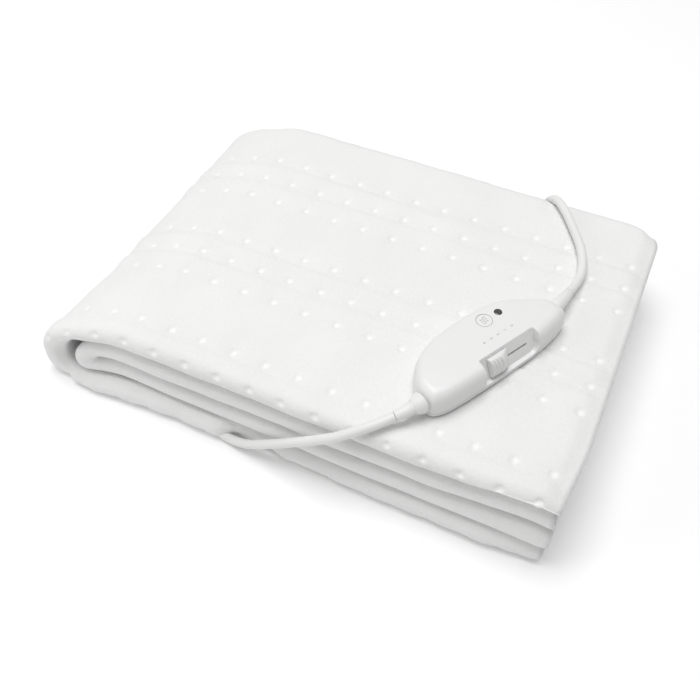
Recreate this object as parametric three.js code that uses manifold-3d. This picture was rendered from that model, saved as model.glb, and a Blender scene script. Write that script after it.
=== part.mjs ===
// A folded electric underblanket with its slide-switch controller and its two leads.
// Millimetres, +Z up. The origin is near the middle of the folded stack, on the surface that it lies on.
// +X runs along the folded front to the right, and +Y to the back.
import * as THREE from "three";
import { mergeVertices } from "three/addons/utils/BufferGeometryUtils.js";
import Module from "manifold-3d";

const wasm = await Module();
wasm.setup();

const { lerp, smoothstep, degToRad } = THREE.MathUtils;
const gap = 0.3; // between pieces that touch

// The folded stack: a strip of five layers, folded once in half at the left end
const stack = {
  height: 72,
  front: -139.5,
  back: 139.5,
  right: 196.9,
  rightLean: 7, // how much less far the lowest layer reaches
  endSag: 0.045, // how much the cut end sinks, as a share of its height
  endSagLength: 15,
  frontWave: 1.2, // how far the front folds draw back in places
  frontFade: 45, // how far back the front's unevenness goes
  longWave: { x: 71, z: 25 }, // lengths of the front's two waves
  shortWave: { x: 33, z: 12, start: 0.6 },
};

// How the stack has settled unevenly. Shares are of the height.
const leftShoulder = { from: -117, to: -177, frontShare: 0.14, backShare: 0.208, front: -110, back: -50 };
const leftCorner = { from: -132, to: -172, back: -95, outward: 3.5, forward: 5.8 };
const rightFront = {
  from: 120,
  to: 190,
  back: -80,
  low: 30,
  high: 50,
  inward: 4,
  backward: 3,
  liftFrom: 100,
  liftTo: 192,
  liftLow: 24,
  liftHigh: 48,
  hollowLow: 59.5,
  hollowHigh: 67,
  lift: 6.5,
};
const backCorner = { from: 165, to: 197, front: 110, back: 139.5, inward: 5.5, forward: 3.5, sag: 0.03 };

// How far the lowest fold reaches forward, along x
const lowFoldReach = [
  { x: -178, reach: 0 },
  { x: -169, reach: 4.0 },
  { x: -151, reach: 8.0 },
  { x: -136, reach: 9.2 },
  { x: -107, reach: 7.4 },
  { x: -82, reach: 6.0 },
  { x: -51, reach: 7.0 },
  { x: -36, reach: 0 },
  { x: -10, reach: 0 },
  { x: 8, reach: 3.0 },
  { x: 25, reach: 2.9 },
  { x: 49, reach: 3.8 },
  { x: 123, reach: 3.4 },
  { x: 152, reach: 4.1 },
  { x: 166, reach: 2.6 },
  { x: 179, reach: 1.0 },
  { x: 196, reach: 0 },
];
// Depth of the gap over the lowest fold below the half's outer face, at the front and further in, and the
// angle of the left turn past which the cloth counts as the lower half
const lowGap = { front: 17.75, inside: 13.68, from: -130.8, to: -102.8, ease: 0.2, turnedBy: 140 };

// The dent in the lowest fold where the blanket's lead goes in
const entryDent = { x: -34, depth: 1.2, length: 22, low: 8, height: 26, clearance: 0.9 };

// The dip that the mains lead presses into the back edge, as a share of the height
const edgeDip = { x: 111, share: 0.032, width: 2, length: 14, from: 110, to: 132, clearance: 0.7 };

const half = stack.height / 2;

const cloth = {
  thickness: 5,
  hemThickness: 2.6,
  hemWidth: 9,
  pitch: 7.45, // between the middles of neighbouring layers
  gather: 28, // length over which layers close up towards a fold
};

// Depth of each layer's middle below the top of the stack, at its front and at its back end, from the top
// layer to the innermost one
const layers = [
  { front: 2.5, back: 2.5 },
  { front: 15.0, back: 9.8 },
  { front: 20.5, back: 18.4 },
  { front: 32.9, back: 24.6 },
  { front: 32.9, back: 33.0 },
];

// The folds of the strip, from the top layer inwards: how far each reaches, and its steps in degrees
const folds = [
  { end: "front", reach: stack.front, steps: [0, 40, 70, 100, 130, 155, 180] },
  { end: "back", reach: 132, steps: [0, 45, 90, 135, 180] },
  { end: "front", reach: stack.front, steps: [0, 36, 72, 108, 144, 180] },
  { end: "back", reach: 139, steps: [0, 45, 90, 135, 180] },
];

// The top layer's rear hem droops over the back folds, and lies flat under the stack
const hem = { start: 127.4, radius: 10, droop: 75, steps: [1, 0.67, 0.33, 0] };
const innerEdge = -93.5; // where the innermost layer ends

// The turn at the left end, where the strip is folded in half. It sags outwards towards the bottom.
const turn = {
  start: -158.1,
  reach: 29,
  sag: 21.5,
  frontSag: 2.9, // more sag at the front
  hollow: 9, // how far the three inner layers stay back from the two outer ones
  steps: [10, 32, 54, 76, 98, 120, 142, 162],
};

// Weld dots and wire channels: groups of three rows, with plain cloth between the groups
const quilting = {
  rows: [86.9, 62.9, 38.9, -11.2, -35.2, -59.2, -114.1],
  rowPitch: 24,
  columnPitch: 25,
  columnStart: -166.9, // x of the first column, on the turn at the left end
  columns: 15,
  dotRadius: 4,
  dotDepth: 1.2,
  channelDepth: 1.1,
};

// The leads
const lead = { diameter: 6.8, sides: 10 };
const leadRadius = lead.diameter / 2;

// The blanket's lead: from its boot over the front edge, down to the surface and into the lowest fold
const blanketRoute = {
  steps: 20,
  entryPoints: 8, // the last points, which run through the hole in the fold
  entrySteps: 16,
  holeBeyond: 0.4, // how much further the hole goes, as a share of the last step
  points: [
    [78.2, -122.3, 80.1],
    [73.0, -128.2, 79.0],
    [67.0, -133.8, 77.4],
    [60.6, -138.4, 74.9],
    [54.0, -141.8, 71.0],
    [46.9, -143.7, 65.6],
    [39.4, -144.2, 59.4],
    [30.6, -144.0, 51.6],
    [20.5, -143.9, 43.2],
    [8.4, -143.8, 33.4],
    [-4.1, -143.8, 23.8],
    [-14.4, -143.8, 16.4],
    [-22.4, -143.6, 11.1],
    [-30.2, -143.0, 7.4],
    [-37.3, -142.2, 5.3],
    [-43.9, -141.2, 4.6],
    [-50.4, -139.6, 4.9],
    [-56.5, -137.3, 6.0],
    [-62.0, -134.2, 7.6],
  ],
};

// The mains lead: from its boot across the top, over the back edge and down to its hank
const mainsRoute = {
  steps: 34,
  edgePoints: [8, 16], // the points between which it crosses the edge
  edgeSteps: 18,
  points: [
    [148.1, 28.6, 80.0],
    [150.2, 40.4, 77.6],
    [151.2, 51.6, 76.3],
    [150.3, 62.2, 76.0],
    [147.5, 72.8, 76.0],
    [143.4, 83.0, 76.0],
    [138.2, 92.8, 76.0],
    [131.8, 103.0, 76.0],
    [125.6, 112.8, 76.1],
    [119.8, 121.3, 75.6],
    [114.6, 128.8, 74.2],
    [110.0, 135.2, 71.0],
    [106.6, 139.9, 66.6],
    [103.9, 143.5, 61.0],
    [102.4, 145.9, 55.4],
    [101.2, 147.5, 48.7],
    [100.0, 148.5, 41.5],
    [97.6, 149.0, 34.2],
    [93.6, 149.1, 27.2],
    [87.6, 148.9, 21.0],
    [79.6, 148.2, 16.2],
    [69.4, 147.2, 13.0],
    [54.9, 145.6, 11.4],
  ],
};

// The rest of the mains lead, folded into a hank behind the stack and tied in the middle
const hank = {
  x: -33,
  y: 172.8,
  base: 1.2,
  runLength: 134,
  foldRadius: 27.5, // of the outer turns
  high: 2, // leads on top of each other
  arcSteps: 10,
  sideSteps: 10,
  waist: 17, // how far the tie draws each side in
  entryStub: 20,
  exitAngle: 45, // where the last turn leaves the right fold
  exitStub: 21.2,
  overlap: 1, // of the stubs with the bundle
};
const tie = { width: 8, thickness: 0.6, ease: 0.8, innerCorner: 0.4 };

const tailRoute = {
  steps: 5,
  points: [
    [68.8, 176.5, 4.6],
    [74.2, 172.2, 4.8],
    [80.9, 169.5, 5.4],
    [88.0, 168.7, 6.4],
    [91.8, 168.6, 6.8],
  ],
};

// The flat two-pin plug, from the thin end of its boot
const plug = {
  x: 92.3,
  y: 168.6,
  z: 7,
  bootLength: 28,
  bootProfile: [[0, 3.7], [0.5, 4.6], [1, 6.2]], // share of the length, and radius
  bootSides: 16,
  bodyLength: 36,
  bodyWidth: 35,
  bodyOutline: [[0, 0.43], [0.3, 0.72], [0.6, 1], [1, 1]], // shares of the length and of the width
  thickness: 14,
  pinLength: 19,
  pinDiameter: 4,
  pinTip: 1,
  pinTipRadius: 1.2,
  pinSides: 12,
  pinSpacing: 18.6,
};

// The controller, in its own frame: x along its length, y to its rounded side, z up
const controller = {
  x: 119.67,
  y: -51.04,
  z: stack.height + gap,
  turn: 62.36,
  height: 20.6,
  parting: 4.2,
  middleAcross: 12, // y that the outline shrinks towards as it rises
  halfLength: 62,
  halfWidth: 24,
};

// The outline, anticlockwise, in four stretches
const outline = {
  right: [[-62, -7], [-50, -11.3], [-20, -12.5], [25, -12], [50, -9], [64, -4.5]],
  rear: [[64, -4.5], [61.4, 11.8]],
  left: [[61.4, 11.8], [49, 20.5], [39, 28.6], [28, 33.6], [10, 35.3], [-10, 35.3], [-28, 33.2], [-38, 30],
    [-47, 25.4], [-54, 18.2], [-62, 8.2]],
  front: [[-62, 8.2], [-62, -7]],
};

// The wall of the shell from the underside up, and how far it is drawn in at each height
const wall = [
  { height: 0, inset: 1.6 },
  { height: 1.2, inset: 0.3 },
  { height: 4.2, inset: 0 },
  { height: 9, inset: 0 },
  { height: 14.5, inset: 0.8 },
  { height: 17.8, inset: 2.3 },
  { height: 19.8, inset: 4.6 },
  { height: 20.6, inset: 7.4 },
];

// The recess in the right side, its sloping floor and the slot in that floor
const recess = {
  start: -18,
  end: 31.5,
  startRadius: 2,
  endRadius: 7,
  footAcross: -9.4, // y and z of the lower edge of the floor
  footHeight: 3.4,
  lean: 23.5,
  rise: 26,
  cut: 20, // how far out of its floor the shell is cut away
  slotStart: -6.6,
  slotEnd: 24,
  slotHeight: 9.2,
  slotWidth: 1.9,
  slotDepth: 3.6,
};

const knob = {
  start: -11.4,
  length: 16.4,
  low: 3,
  high: 16.4,
  clearance: 0.35,
  ribs: 4,
  ribPitch: 2.7,
  crest: 6.4,
  groove: 5.1,
  firstRib: 0.82, // height of the first rib, as a share of the last one's
  ramp: { start: 1.2, rise: 0.5, end: 1.6, fall: 1 },
  shoulder: 2.4,
  stemStart: 6.8,
  stemLength: 3.2,
  stemWidth: 1.2,
  stemDepth: 2.8,
};

const lamp = { x: 21.8, y: 21.4, radius: 2.6, rim: 0.35, depth: 1.6, proud: 0.3, sides: 20 };

// The boots that hold the leads: where they leave the shell, their heading from the controller's length and
// their dip at both ends, and pairs of distance and radius along them
const bootSides = 16;
const blanketBoot = {
  x: -62.3,
  y: 0.6,
  z: 10.2,
  heading: [180, 164],
  dip: [0, 11],
  profile: [[0, 7.4], [2.5, 7.3], [5.5, 6.2], [7.5, 4.9], [8.5, 4.4], [20, 3.6]],
};
const mainsBoot = {
  x: 62.65,
  y: 6.25,
  z: 10.2,
  heading: [9.1, 19],
  dip: [0, 12],
  profile: [[0, 5.3], [3, 5.1], [10, 4.5], [21.4, 3.65]],
};

const finish = {
  fleece: { color: 0xf1f1ef, roughness: 0.95, metalness: 0 },
  shell: { color: 0xeeeeec, roughness: 0.35, metalness: 0 },
  knob: { color: 0xe4e4e2, roughness: 0.45, metalness: 0 },
  lamp: { color: 0x4a4a4a, roughness: 0.25, metalness: 0 },
  lead: { color: 0xeaeae8, roughness: 0.5, metalness: 0 },
  tie: { color: 0xdcdcda, roughness: 0.6, metalness: 0 },
  pin: { color: 0xc9c9c6, roughness: 0.25, metalness: 1 },
};

// Booleans
function toSolid(geometry) {
  const plain = geometry.clone();
  plain.deleteAttribute("normal");
  plain.deleteAttribute("uv");
  const merged = mergeVertices(plain, 1e-4);
  const vertProperties = new Float32Array(merged.attributes.position.array);
  const triVerts = new Uint32Array(merged.index.array);
  return new wasm.Manifold(new wasm.Mesh({ numProp: 3, vertProperties, triVerts }));
}

function toGeometry(solid) {
  const mesh = solid.getMesh();
  const geometry = new THREE.BufferGeometry();
  geometry.setAttribute("position", new THREE.BufferAttribute(mesh.vertProperties, 3));
  geometry.setIndex(new THREE.BufferAttribute(mesh.triVerts, 1));
  return geometry;
}

function indexed(points, triangles) {
  const geometry = new THREE.BufferGeometry().setFromPoints(points);
  geometry.setIndex(triangles);
  return geometry;
}

// A closed solid through rings of points, each anticlockwise seen from the last ring's side
function loft(rings) {
  const count = rings[0].length;
  const points = rings.flat();
  const triangles = [];
  for (let ring = 0; ring + 1 < rings.length; ring++) {
    for (let i = 0; i < count; i++) {
      const a = ring * count + i;
      const b = ring * count + (i + 1) % count;
      triangles.push(a, b, b + count, a, b + count, a + count);
    }
  }
  const last = (rings.length - 1) * count;
  for (let i = 1; i + 1 < count; i++) {
    triangles.push(0, i + 1, i);
    triangles.push(last, last + i, last + i + 1);
  }
  return indexed(points, triangles);
}

// A round piece along +Z through pairs of distance and radius
function turned(profile, sides) {
  const points = profile.map(([along, radius]) => new THREE.Vector2(radius, along));
  points.unshift(new THREE.Vector2(0, profile[0][0]));
  points.push(new THREE.Vector2(0, profile.at(-1)[0]));
  return new THREE.LatheGeometry(points, sides).rotateX(Math.PI / 2);
}

function polygon(pairs) {
  return new THREE.Shape(pairs.map(([x, y]) => new THREE.Vector2(x, y)));
}

function prism(shape, depth) {
  return new THREE.ExtrudeGeometry(shape, { depth, bevelEnabled: false, curveSegments: 8 });
}

function box(from, to) {
  const size = to.map((value, axis) => value - from[axis]);
  const middle = to.map((value, axis) => (value + from[axis]) / 2);
  return new THREE.BoxGeometry(...size).translate(...middle);
}

// The cloth. A point of the folded strip's section has y, the depth of the layer's middle, a normal
// that points to the face which is outermost on the top layer, and the layer's inset at the left turn.
function foldCentre(fold, radius) {
  const reach = radius + cloth.thickness / 2;
  return fold.end === "front" ? fold.reach + reach : fold.reach - reach;
}

function foldRadius(index) {
  const end = folds[index].end;
  return (layers[index + 1][end] - layers[index][end]) / 2;
}

const foldReach = 8.75; // distance from a fold's outermost point to where its layers are straight

function layerDepth(index, y) {
  const even = cloth.thickness / 2 + index * cloth.pitch;
  const frontStart = stack.front + foldReach;
  const backStart = stack.back - foldReach;
  const toFront = 1 - smoothstep(y, frontStart, frontStart + cloth.gather);
  const toBack = smoothstep(y, backStart - cloth.gather, backStart);
  return even + (layers[index].front - even) * toFront + (layers[index].back - even) * toBack;
}
// Rows across each layer, in order along the strip: at the front where the layers close up, in the middle,
// and near the shorter and the longer back fold
const closeUp = stack.front + foldReach + cloth.gather;
const frontRows = [-115.4, closeUp];
const middleRow = 0;
const shortBackRows = [97, 111];
const longBackRows = [103, 117];
const layerRows = [
  quiltedRows(),
  [...frontRows, middleRow, ...shortBackRows],
  [...shortBackRows.toReversed(), middleRow, ...frontRows.toReversed()],
  [...frontRows, middleRow, ...longBackRows],
  [...longBackRows.toReversed(), middleRow, innerEdge],
];

// The top layer's rows run along the wire channels and half way between the groups of dots
function quiltedRows() {
  const reach = quilting.rowPitch / 2;
  const rows = new Set();
  for (const y of quilting.rows) {
    rows.add(Number((y + reach).toFixed(1)));
    rows.add(Number((y - reach).toFixed(1)));
  }
  return [...rows];
}

function isChannel(y) {
  const reach = quilting.rowPitch / 2;
  const rows = quilting.rows;
  const above = rows.some((row) => Math.abs(row - reach - y) < 0.1);
  const below = rows.some((row) => Math.abs(row + reach - y) < 0.1);
  return above && (below || y < rows.at(-1));
}

// flat is 0 on the top half of the stack and 1 on the bottom half, where the hem and channels lie flat
function sectionPoints(flat) {
  const points = [];
  for (const share of hem.steps) {
    const angle = degToRad(hem.droop) * share;
    const flatY = lerp(hem.start, stack.back, share);
    const droopY = hem.start + hem.radius * Math.sin(angle);
    const drop = hem.radius * (1 - Math.cos(angle)) * (1 - flat);
    const lean = angle * (1 - flat);
    const thickness = share === 1 ? cloth.hemThickness : cloth.thickness;
    points.push({
      y: lerp(droopY, flatY, flat),
      depth: layers[0].back + drop,
      normal: [Math.sin(lean), -Math.cos(lean)],
      inset: 0,
      thickness,
    });
  }
  for (let index = 0; index < layers.length; index++) {
    const facing = index % 2 === 0 ? -1 : 1;
    for (const y of layerRows[index]) {
      const channel = index === 0 && isChannel(y);
      points.push({
        y,
        depth: layerDepth(index, y),
        normal: [0, facing],
        inset: index > 1 ? turn.hollow : 0,
        thickness: cloth.thickness,
        relief: channel ? quilting.channelDepth * (1 - flat) : 0,
        dotted: index === 0 && quilting.rows.some((row) => Math.abs(row + quilting.rowPitch / 2 - y) < 0.1),
      });
    }
    if (index < folds.length) {
      points.push(...foldPoints(index));
    }
  }
  return points;
}

function foldPoints(index) {
  const fold = folds[index];
  const radius = foldRadius(index);
  const centreY = foldCentre(fold, radius);
  const middle = layers[index][fold.end] + radius;
  const outward = fold.end === "front" ? -1 : 1;
  const side = fold.end === "front" ? 1 : -1;
  return fold.steps.map((step) => {
    const angle = degToRad(step);
    const across = outward * Math.sin(angle);
    const down = -Math.cos(angle);
    const inner = index === 1 ? step / 180 : Number(index > 1);
    return {
      y: centreY + radius * across,
      depth: middle + radius * down,
      normal: [side * across, side * down],
      inset: turn.hollow * inner,
      thickness: cloth.thickness,
      dotted: index === 0 && step === 0,
    };
  });
}

// x of the stations on the bottom half, where the lowest fold's reach changes
const lowStations = [-136, -104, -66, -51, -43, -35, -10, 8, 49, 108, 152, 175];

// How far a column of dots lies on the way from one station to the next, and how much of a cell half a dot
// may take up
const dotShare = { first: 0.34, middle: 0.5, last: 0.43, mostAcross: 0.28, mostAlong: 0.38 };

// Stations along the strip, from the cut end of the top half round the turn to that of the bottom half
function stationList() {
  const { columnStart, columnPitch, columns } = quilting;
  const along = (x) => (stack.right - x) / (stack.right - turn.start);
  const hemShare = along(stack.right - cloth.hemWidth);
  const stations = [{ share: 0, hem: true }, { share: hemShare, dotAt: dotShare.first }];
  for (let column = columns - 1.5; column > 1; column--) {
    stations.push({ share: along(columnStart + column * columnPitch), dotAt: dotShare.middle });
  }
  stations.at(-1).dotAt = dotShare.last;
  stations.push({ share: 1 });
  for (const angle of turn.steps) {
    stations.push({ angle, dotAt: angle === turn.steps[0] ? dotShare.middle : undefined });
  }
  for (const share of [1, ...lowStations.map(along), hemShare]) {
    stations.push({ angle: 180, share });
  }
  stations.push({ angle: 180, share: 0, hem: true });
  return stations;
}

// Where a point of the section lies at a station
function place(station, y, depth, inset) {
  const angle = degToRad(station.angle ?? 0);
  const share = station.share ?? 1;
  const height = 1 - depth / half;
  const nearFront = 1 - smoothstep(y, stack.front, 0);
  const sag = turn.sag + turn.frontSag * nearFront;
  const bulge = turn.reach * Math.sin(angle) + sag * (1 - Math.cos(angle)) / 2;
  const bend = turn.start + inset - height * bulge;
  const z = half + height * half * Math.cos(angle);
  const end = stack.right - stack.rightLean * (1 - z / stack.height);
  const x = lerp(end, bend, share);
  const gapHeight = lerp(lowGap.front, lowGap.inside, smoothstep(y, lowGap.from, lowGap.to));
  const underGap = 1 - smoothstep(depth - gapHeight, -lowGap.ease, lowGap.ease);
  const onLowHalf = smoothstep(angle, degToRad(lowGap.turnedBy), Math.PI);
  return settle(x, y - lowReach(x) * underGap * onLowHalf * byFront(y), z);
}

// How far the lowest fold reaches forward at x, eased from one place of the list to the next
function lowReach(x) {
  const found = lowFoldReach.findIndex((place) => place.x > x);
  const next = found === -1 ? lowFoldReach.length - 1 : Math.max(found, 1);
  const before = lowFoldReach[next - 1];
  const after = lowFoldReach[next];
  return lerp(before.reach, after.reach, smoothstep(x, before.x, after.x));
}

function byFront(y) {
  return 1 - smoothstep(y, stack.front, stack.front + stack.frontFade);
}

// The stack's even shape, drawn in, pushed and sunk as the real one has settled
function settle(x, y, z) {
  const nearFront = byFront(y);
  const { shortWave, longWave } = stack;
  const ripple = Math.sin(x / shortWave.x + z / shortWave.z + shortWave.start);
  const wave = (1 + ripple * Math.cos(x / longWave.x - z / longWave.z)) / 2;
  const nearEnd = smoothstep(x, stack.right - stack.endSagLength, stack.right);
  const fromEntry = Math.abs(x - entryDent.x);
  const dent = (1 - smoothstep(fromEntry, 0, entryDent.length))
    * (1 - smoothstep(z, entryDent.low, entryDent.height));
  const fromLead = Math.abs(x - edgeDip.x);
  const dip = (1 - smoothstep(fromLead, edgeDip.width, edgeDip.length))
    * smoothstep(y, edgeDip.from, edgeDip.to);
  const towardsBack = smoothstep(y, leftShoulder.front, leftShoulder.back);
  const sunk = (1 - smoothstep(x, leftShoulder.to, leftShoulder.from))
    * lerp(leftShoulder.frontShare, leftShoulder.backShare, towardsBack);
  const pushed = (1 - smoothstep(x, leftCorner.to, leftCorner.from))
    * (1 - smoothstep(y, stack.front, leftCorner.back));
  const drawn = smoothstep(x, rightFront.from, rightFront.to) * smoothstep(z, rightFront.low, rightFront.high)
    * (1 - smoothstep(y, stack.front, rightFront.back));
  const raised = smoothstep(x, rightFront.liftFrom, rightFront.liftTo) * nearFront
    * smoothstep(z, rightFront.liftLow, rightFront.liftHigh)
    * (1 - smoothstep(z, rightFront.hollowLow, rightFront.hollowHigh));
  const across = smoothstep(x, backCorner.from, backCorner.to);
  const back = smoothstep(y, backCorner.front, backCorner.back);
  const lifted = z + rightFront.lift * raised;
  return new THREE.Vector3(
    x - leftCorner.outward * pushed - rightFront.inward * drawn - backCorner.inward * across * back ** 2,
    y + (stack.frontWave * wave + entryDent.depth * dent) * nearFront + rightFront.backward * drawn
      - leftCorner.forward * pushed - backCorner.forward * across ** 2 * back,
    lifted * (1 - stack.endSag * nearEnd - edgeDip.share * dip - backCorner.sag * across * back) * (1 - sunk),
  );
}

// Both faces of the cloth at a station
function stationFaces(station) {
  const flat = smoothstep(station.angle ?? 0, 20, 180);
  const outer = [];
  const inner = [];
  for (const point of sectionPoints(flat)) {
    const thickness = station.hem ? cloth.hemThickness : point.thickness;
    const [across, down] = point.normal;
    const out = thickness / 2 - (point.relief ?? 0);
    const into = -thickness / 2;
    outer.push(place(station, point.y + across * out, point.depth + down * out, point.inset));
    inner.push(place(station, point.y + across * into, point.depth + down * into, point.inset));
  }
  return { outer, inner };
}

// A weld dot: a square ring of points in a cell of the outer face, u of the way across it, and its sunken
// centre
function addDot(points, triangles, corners, u) {
  const [a, b, c, d] = corners.map((index) => points[index]);
  const at = (across, along) => a.clone().lerp(b, across).lerp(d.clone().lerp(c, across), along);
  const width = a.distanceTo(b);
  const length = a.distanceTo(d);
  const spanU = Math.min(quilting.dotRadius / width, dotShare.mostAcross);
  const spanV = Math.min(quilting.dotRadius / length, dotShare.mostAlong);
  const first = points.length;
  points.push(at(u - spanU, 0.5 - spanV), at(u + spanU, 0.5 - spanV));
  points.push(at(u + spanU, 0.5 + spanV), at(u - spanU, 0.5 + spanV));
  const normal = b.clone().sub(a).cross(d.clone().sub(a)).normalize();
  points.push(at(u, 0.5).addScaledVector(normal, -quilting.dotDepth));
  for (let i = 0; i < 4; i++) {
    const next = (i + 1) % 4;
    triangles.push(corners[i], corners[next], first + next);
    triangles.push(corners[i], first + next, first + i);
    triangles.push(first + i, first + next, first + 4);
  }
}

function underblanket() {
  const stations = stationList();
  const section = sectionPoints(0);
  const rows = section.length;
  const outer = [];
  const inner = [];
  for (const station of stations) {
    const faces = stationFaces(station);
    outer.push(...faces.outer);
    inner.push(...faces.inner);
  }
  const points = [...outer, ...inner];
  const triangles = [];
  const under = outer.length;
  const quad = (a, b, c, d) => triangles.push(a, b, c, a, c, d);
  for (let column = 0; column + 1 < stations.length; column++) {
    for (let row = 0; row + 1 < rows; row++) {
      const a = column * rows + row;
      const b = a + rows;
      const dotAt = stations[column].dotAt;
      if (dotAt !== undefined && section[row].dotted) {
        addDot(points, triangles, [a, b, b + 1, a + 1], dotAt);
      } else {
        quad(a, b, b + 1, a + 1);
      }
      quad(under + a, under + a + 1, under + b + 1, under + b);
    }
    const first = column * rows;
    const last = first + rows - 1;
    quad(first, under + first, under + first + rows, first + rows);
    quad(last, last + rows, under + last + rows, under + last);
  }
  for (let row = 0; row + 1 < rows; row++) {
    const end = (stations.length - 1) * rows + row;
    quad(row, row + 1, under + row + 1, under + row);
    quad(end, under + end, under + end + 1, end + 1);
  }
  const sheet = toSolid(indexed(points, triangles));
  return toGeometry(sheet.subtract(toSolid(entryHole())).subtract(toSolid(edgeGroove())));
}

// The hole in the lowest fold that the blanket's lead runs through
function entryHole() {
  const entry = blanketRoute.points.slice(-blanketRoute.entryPoints);
  const step = entry.at(-1).map((value, axis) => value - entry.at(-2)[axis]);
  const beyond = entry.at(-1).map((value, axis) => value + step[axis] * blanketRoute.holeBeyond);
  return tube([...entry, beyond], leadRadius + entryDent.clearance, blanketRoute.entrySteps);
}

// The groove that the mains lead presses into the back edge
function edgeGroove() {
  const crossing = mainsRoute.points.slice(...mainsRoute.edgePoints);
  return tube(crossing, leadRadius + edgeDip.clearance, mainsRoute.edgeSteps);
}

// A round cord through the points of its route
function tube(route, radius, steps) {
  const corners = [];
  for (let i = 0; i < lead.sides; i++) {
    const angle = (i * 2 * Math.PI) / lead.sides;
    corners.push([radius * Math.cos(angle), radius * Math.sin(angle)]);
  }
  const extrudePath = new THREE.CatmullRomCurve3(route.map((point) => new THREE.Vector3(...point)));
  return new THREE.ExtrudeGeometry(polygon(corners), { steps, extrudePath, bevelEnabled: false });
}

// The hank: its outline has round ends and a waist where the tie draws it together
function hankOutline() {
  const reach = hank.foldRadius + leadRadius;
  const halfRun = hank.runLength / 2;
  const points = [];
  const arc = (centre, from) => {
    for (let step = 0; step <= hank.arcSteps; step++) {
      const angle = degToRad(from + (step * 180) / hank.arcSteps);
      points.push([centre + reach * Math.cos(angle), reach * Math.sin(angle)]);
    }
  };
  const side = (direction) => {
    for (let step = 1; step < hank.sideSteps; step++) {
      const along = lerp(-halfRun, halfRun, step / hank.sideSteps) * direction;
      const draw = hank.waist * (1 + Math.cos((Math.PI * along) / halfRun)) / 2;
      points.push([along, (draw - reach) * direction]);
    }
  };
  side(1);
  arc(halfRun, -90);
  side(-1);
  arc(-halfRun, 90);
  return polygon(points);
}

function mainsHank() {
  const height = hank.high * lead.diameter;
  const halfRun = hank.runLength / 2;
  const front = -hank.foldRadius;
  const back = hank.foldRadius;
  const body = toSolid(prism(hankOutline(), height));
  const entry = box(
    [halfRun - hank.overlap, front - leadRadius, 0],
    [halfRun + hank.entryStub, front + leadRadius, height],
  );
  const exit = box([-hank.overlap, back - leadRadius, 0], [hank.exitStub, back + leadRadius, lead.diameter]);
  exit.rotateZ(-degToRad(hank.exitAngle)).translate(halfRun, 0, 0);
  return toGeometry(body.add(toSolid(entry)).add(toSolid(exit)));
}

function hankTie() {
  const inWidth = 2 * (hank.foldRadius + leadRadius - hank.waist) + 2 * tie.ease;
  const inHeight = hank.high * lead.diameter + 2 * gap;
  const corner = tie.innerCorner + tie.thickness;
  const ring = roundedRectangle(inWidth + 2 * tie.thickness, inHeight + 2 * tie.thickness, corner);
  ring.holes.push(roundedRectangle(inWidth, inHeight, tie.innerCorner));
  const band = prism(ring, tie.width).translate(0, 0, -tie.width / 2);
  return band.rotateX(Math.PI / 2).rotateZ(Math.PI / 2);
}

function roundedRectangle(width, height, radius) {
  const x = width / 2 - radius;
  const y = height / 2 - radius;
  const shape = new THREE.Shape();
  shape.absarc(x, y, radius, 0, Math.PI / 2);
  shape.absarc(-x, y, radius, Math.PI / 2, Math.PI);
  shape.absarc(-x, -y, radius, Math.PI, (3 * Math.PI) / 2);
  shape.absarc(x, -y, radius, (3 * Math.PI) / 2, 2 * Math.PI);
  return shape;
}

// The controller
function shellRing({ height, inset }) {
  const stretches = [
    new THREE.SplineCurve(outline.right.map(([x, y]) => new THREE.Vector2(x, y))).getPoints(12),
    outline.rear.map(([x, y]) => new THREE.Vector2(x, y)),
    new THREE.SplineCurve(outline.left.map(([x, y]) => new THREE.Vector2(x, y))).getPoints(22),
    outline.front.map(([x, y]) => new THREE.Vector2(x, y)),
  ];
  const ring = stretches.flatMap((stretch) => stretch.slice(0, -1));
  const narrow = 1 - inset / controller.halfWidth;
  const shorten = 1 - inset / controller.halfLength;
  return ring.map((point) => new THREE.Vector3(
    point.x * shorten,
    controller.middleAcross + (point.y - controller.middleAcross) * narrow,
    height,
  ));
}

function recessTool() {
  const { start, end, startRadius, endRadius, rise } = recess;
  const shape = new THREE.Shape();
  shape.moveTo(start + startRadius, 0);
  shape.lineTo(end - endRadius, 0);
  shape.absarc(end - endRadius, endRadius, endRadius, -Math.PI / 2, 0);
  shape.lineTo(end, rise);
  shape.lineTo(start, rise);
  shape.absarc(start + startRadius, startRadius, startRadius, Math.PI, 1.5 * Math.PI);
  const low = recess.slotHeight - recess.slotWidth / 2;
  const slot = box(
    [recess.slotStart, low, -recess.slotDepth],
    [recess.slotEnd, low + recess.slotWidth, 1],
  );
  return toSolid(onRecessFloor(prism(shape, recess.cut))).add(toSolid(onRecessFloor(slot)));
}

// Turns a shape drawn on the recess floor, with y up the slope and z out of it, into the controller's frame
function onRecessFloor(geometry) {
  geometry.rotateX(degToRad(90 - recess.lean));
  return geometry.translate(0, recess.footAcross, recess.footHeight);
}

function controllerBase() {
  const rings = wall.filter((step) => step.height <= controller.parting - gap).map(shellRing);
  rings.push(shellRing({ height: controller.parting - gap, inset: 0 }));
  return toGeometry(toSolid(loft(rings)).subtract(recessTool()));
}

function controllerCover() {
  const rings = wall.filter((step) => step.height >= controller.parting).map(shellRing);
  const pocketRadius = lamp.radius + lamp.rim;
  const pocketHeight = 2 * lamp.depth; // the upper half stands above the shell
  const pocket = new THREE.CylinderGeometry(pocketRadius, pocketRadius, pocketHeight, lamp.sides);
  pocket.rotateX(Math.PI / 2).translate(lamp.x, lamp.y, controller.height);
  return toGeometry(toSolid(loft(rings)).subtract(recessTool()).subtract(toSolid(pocket)));
}

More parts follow.
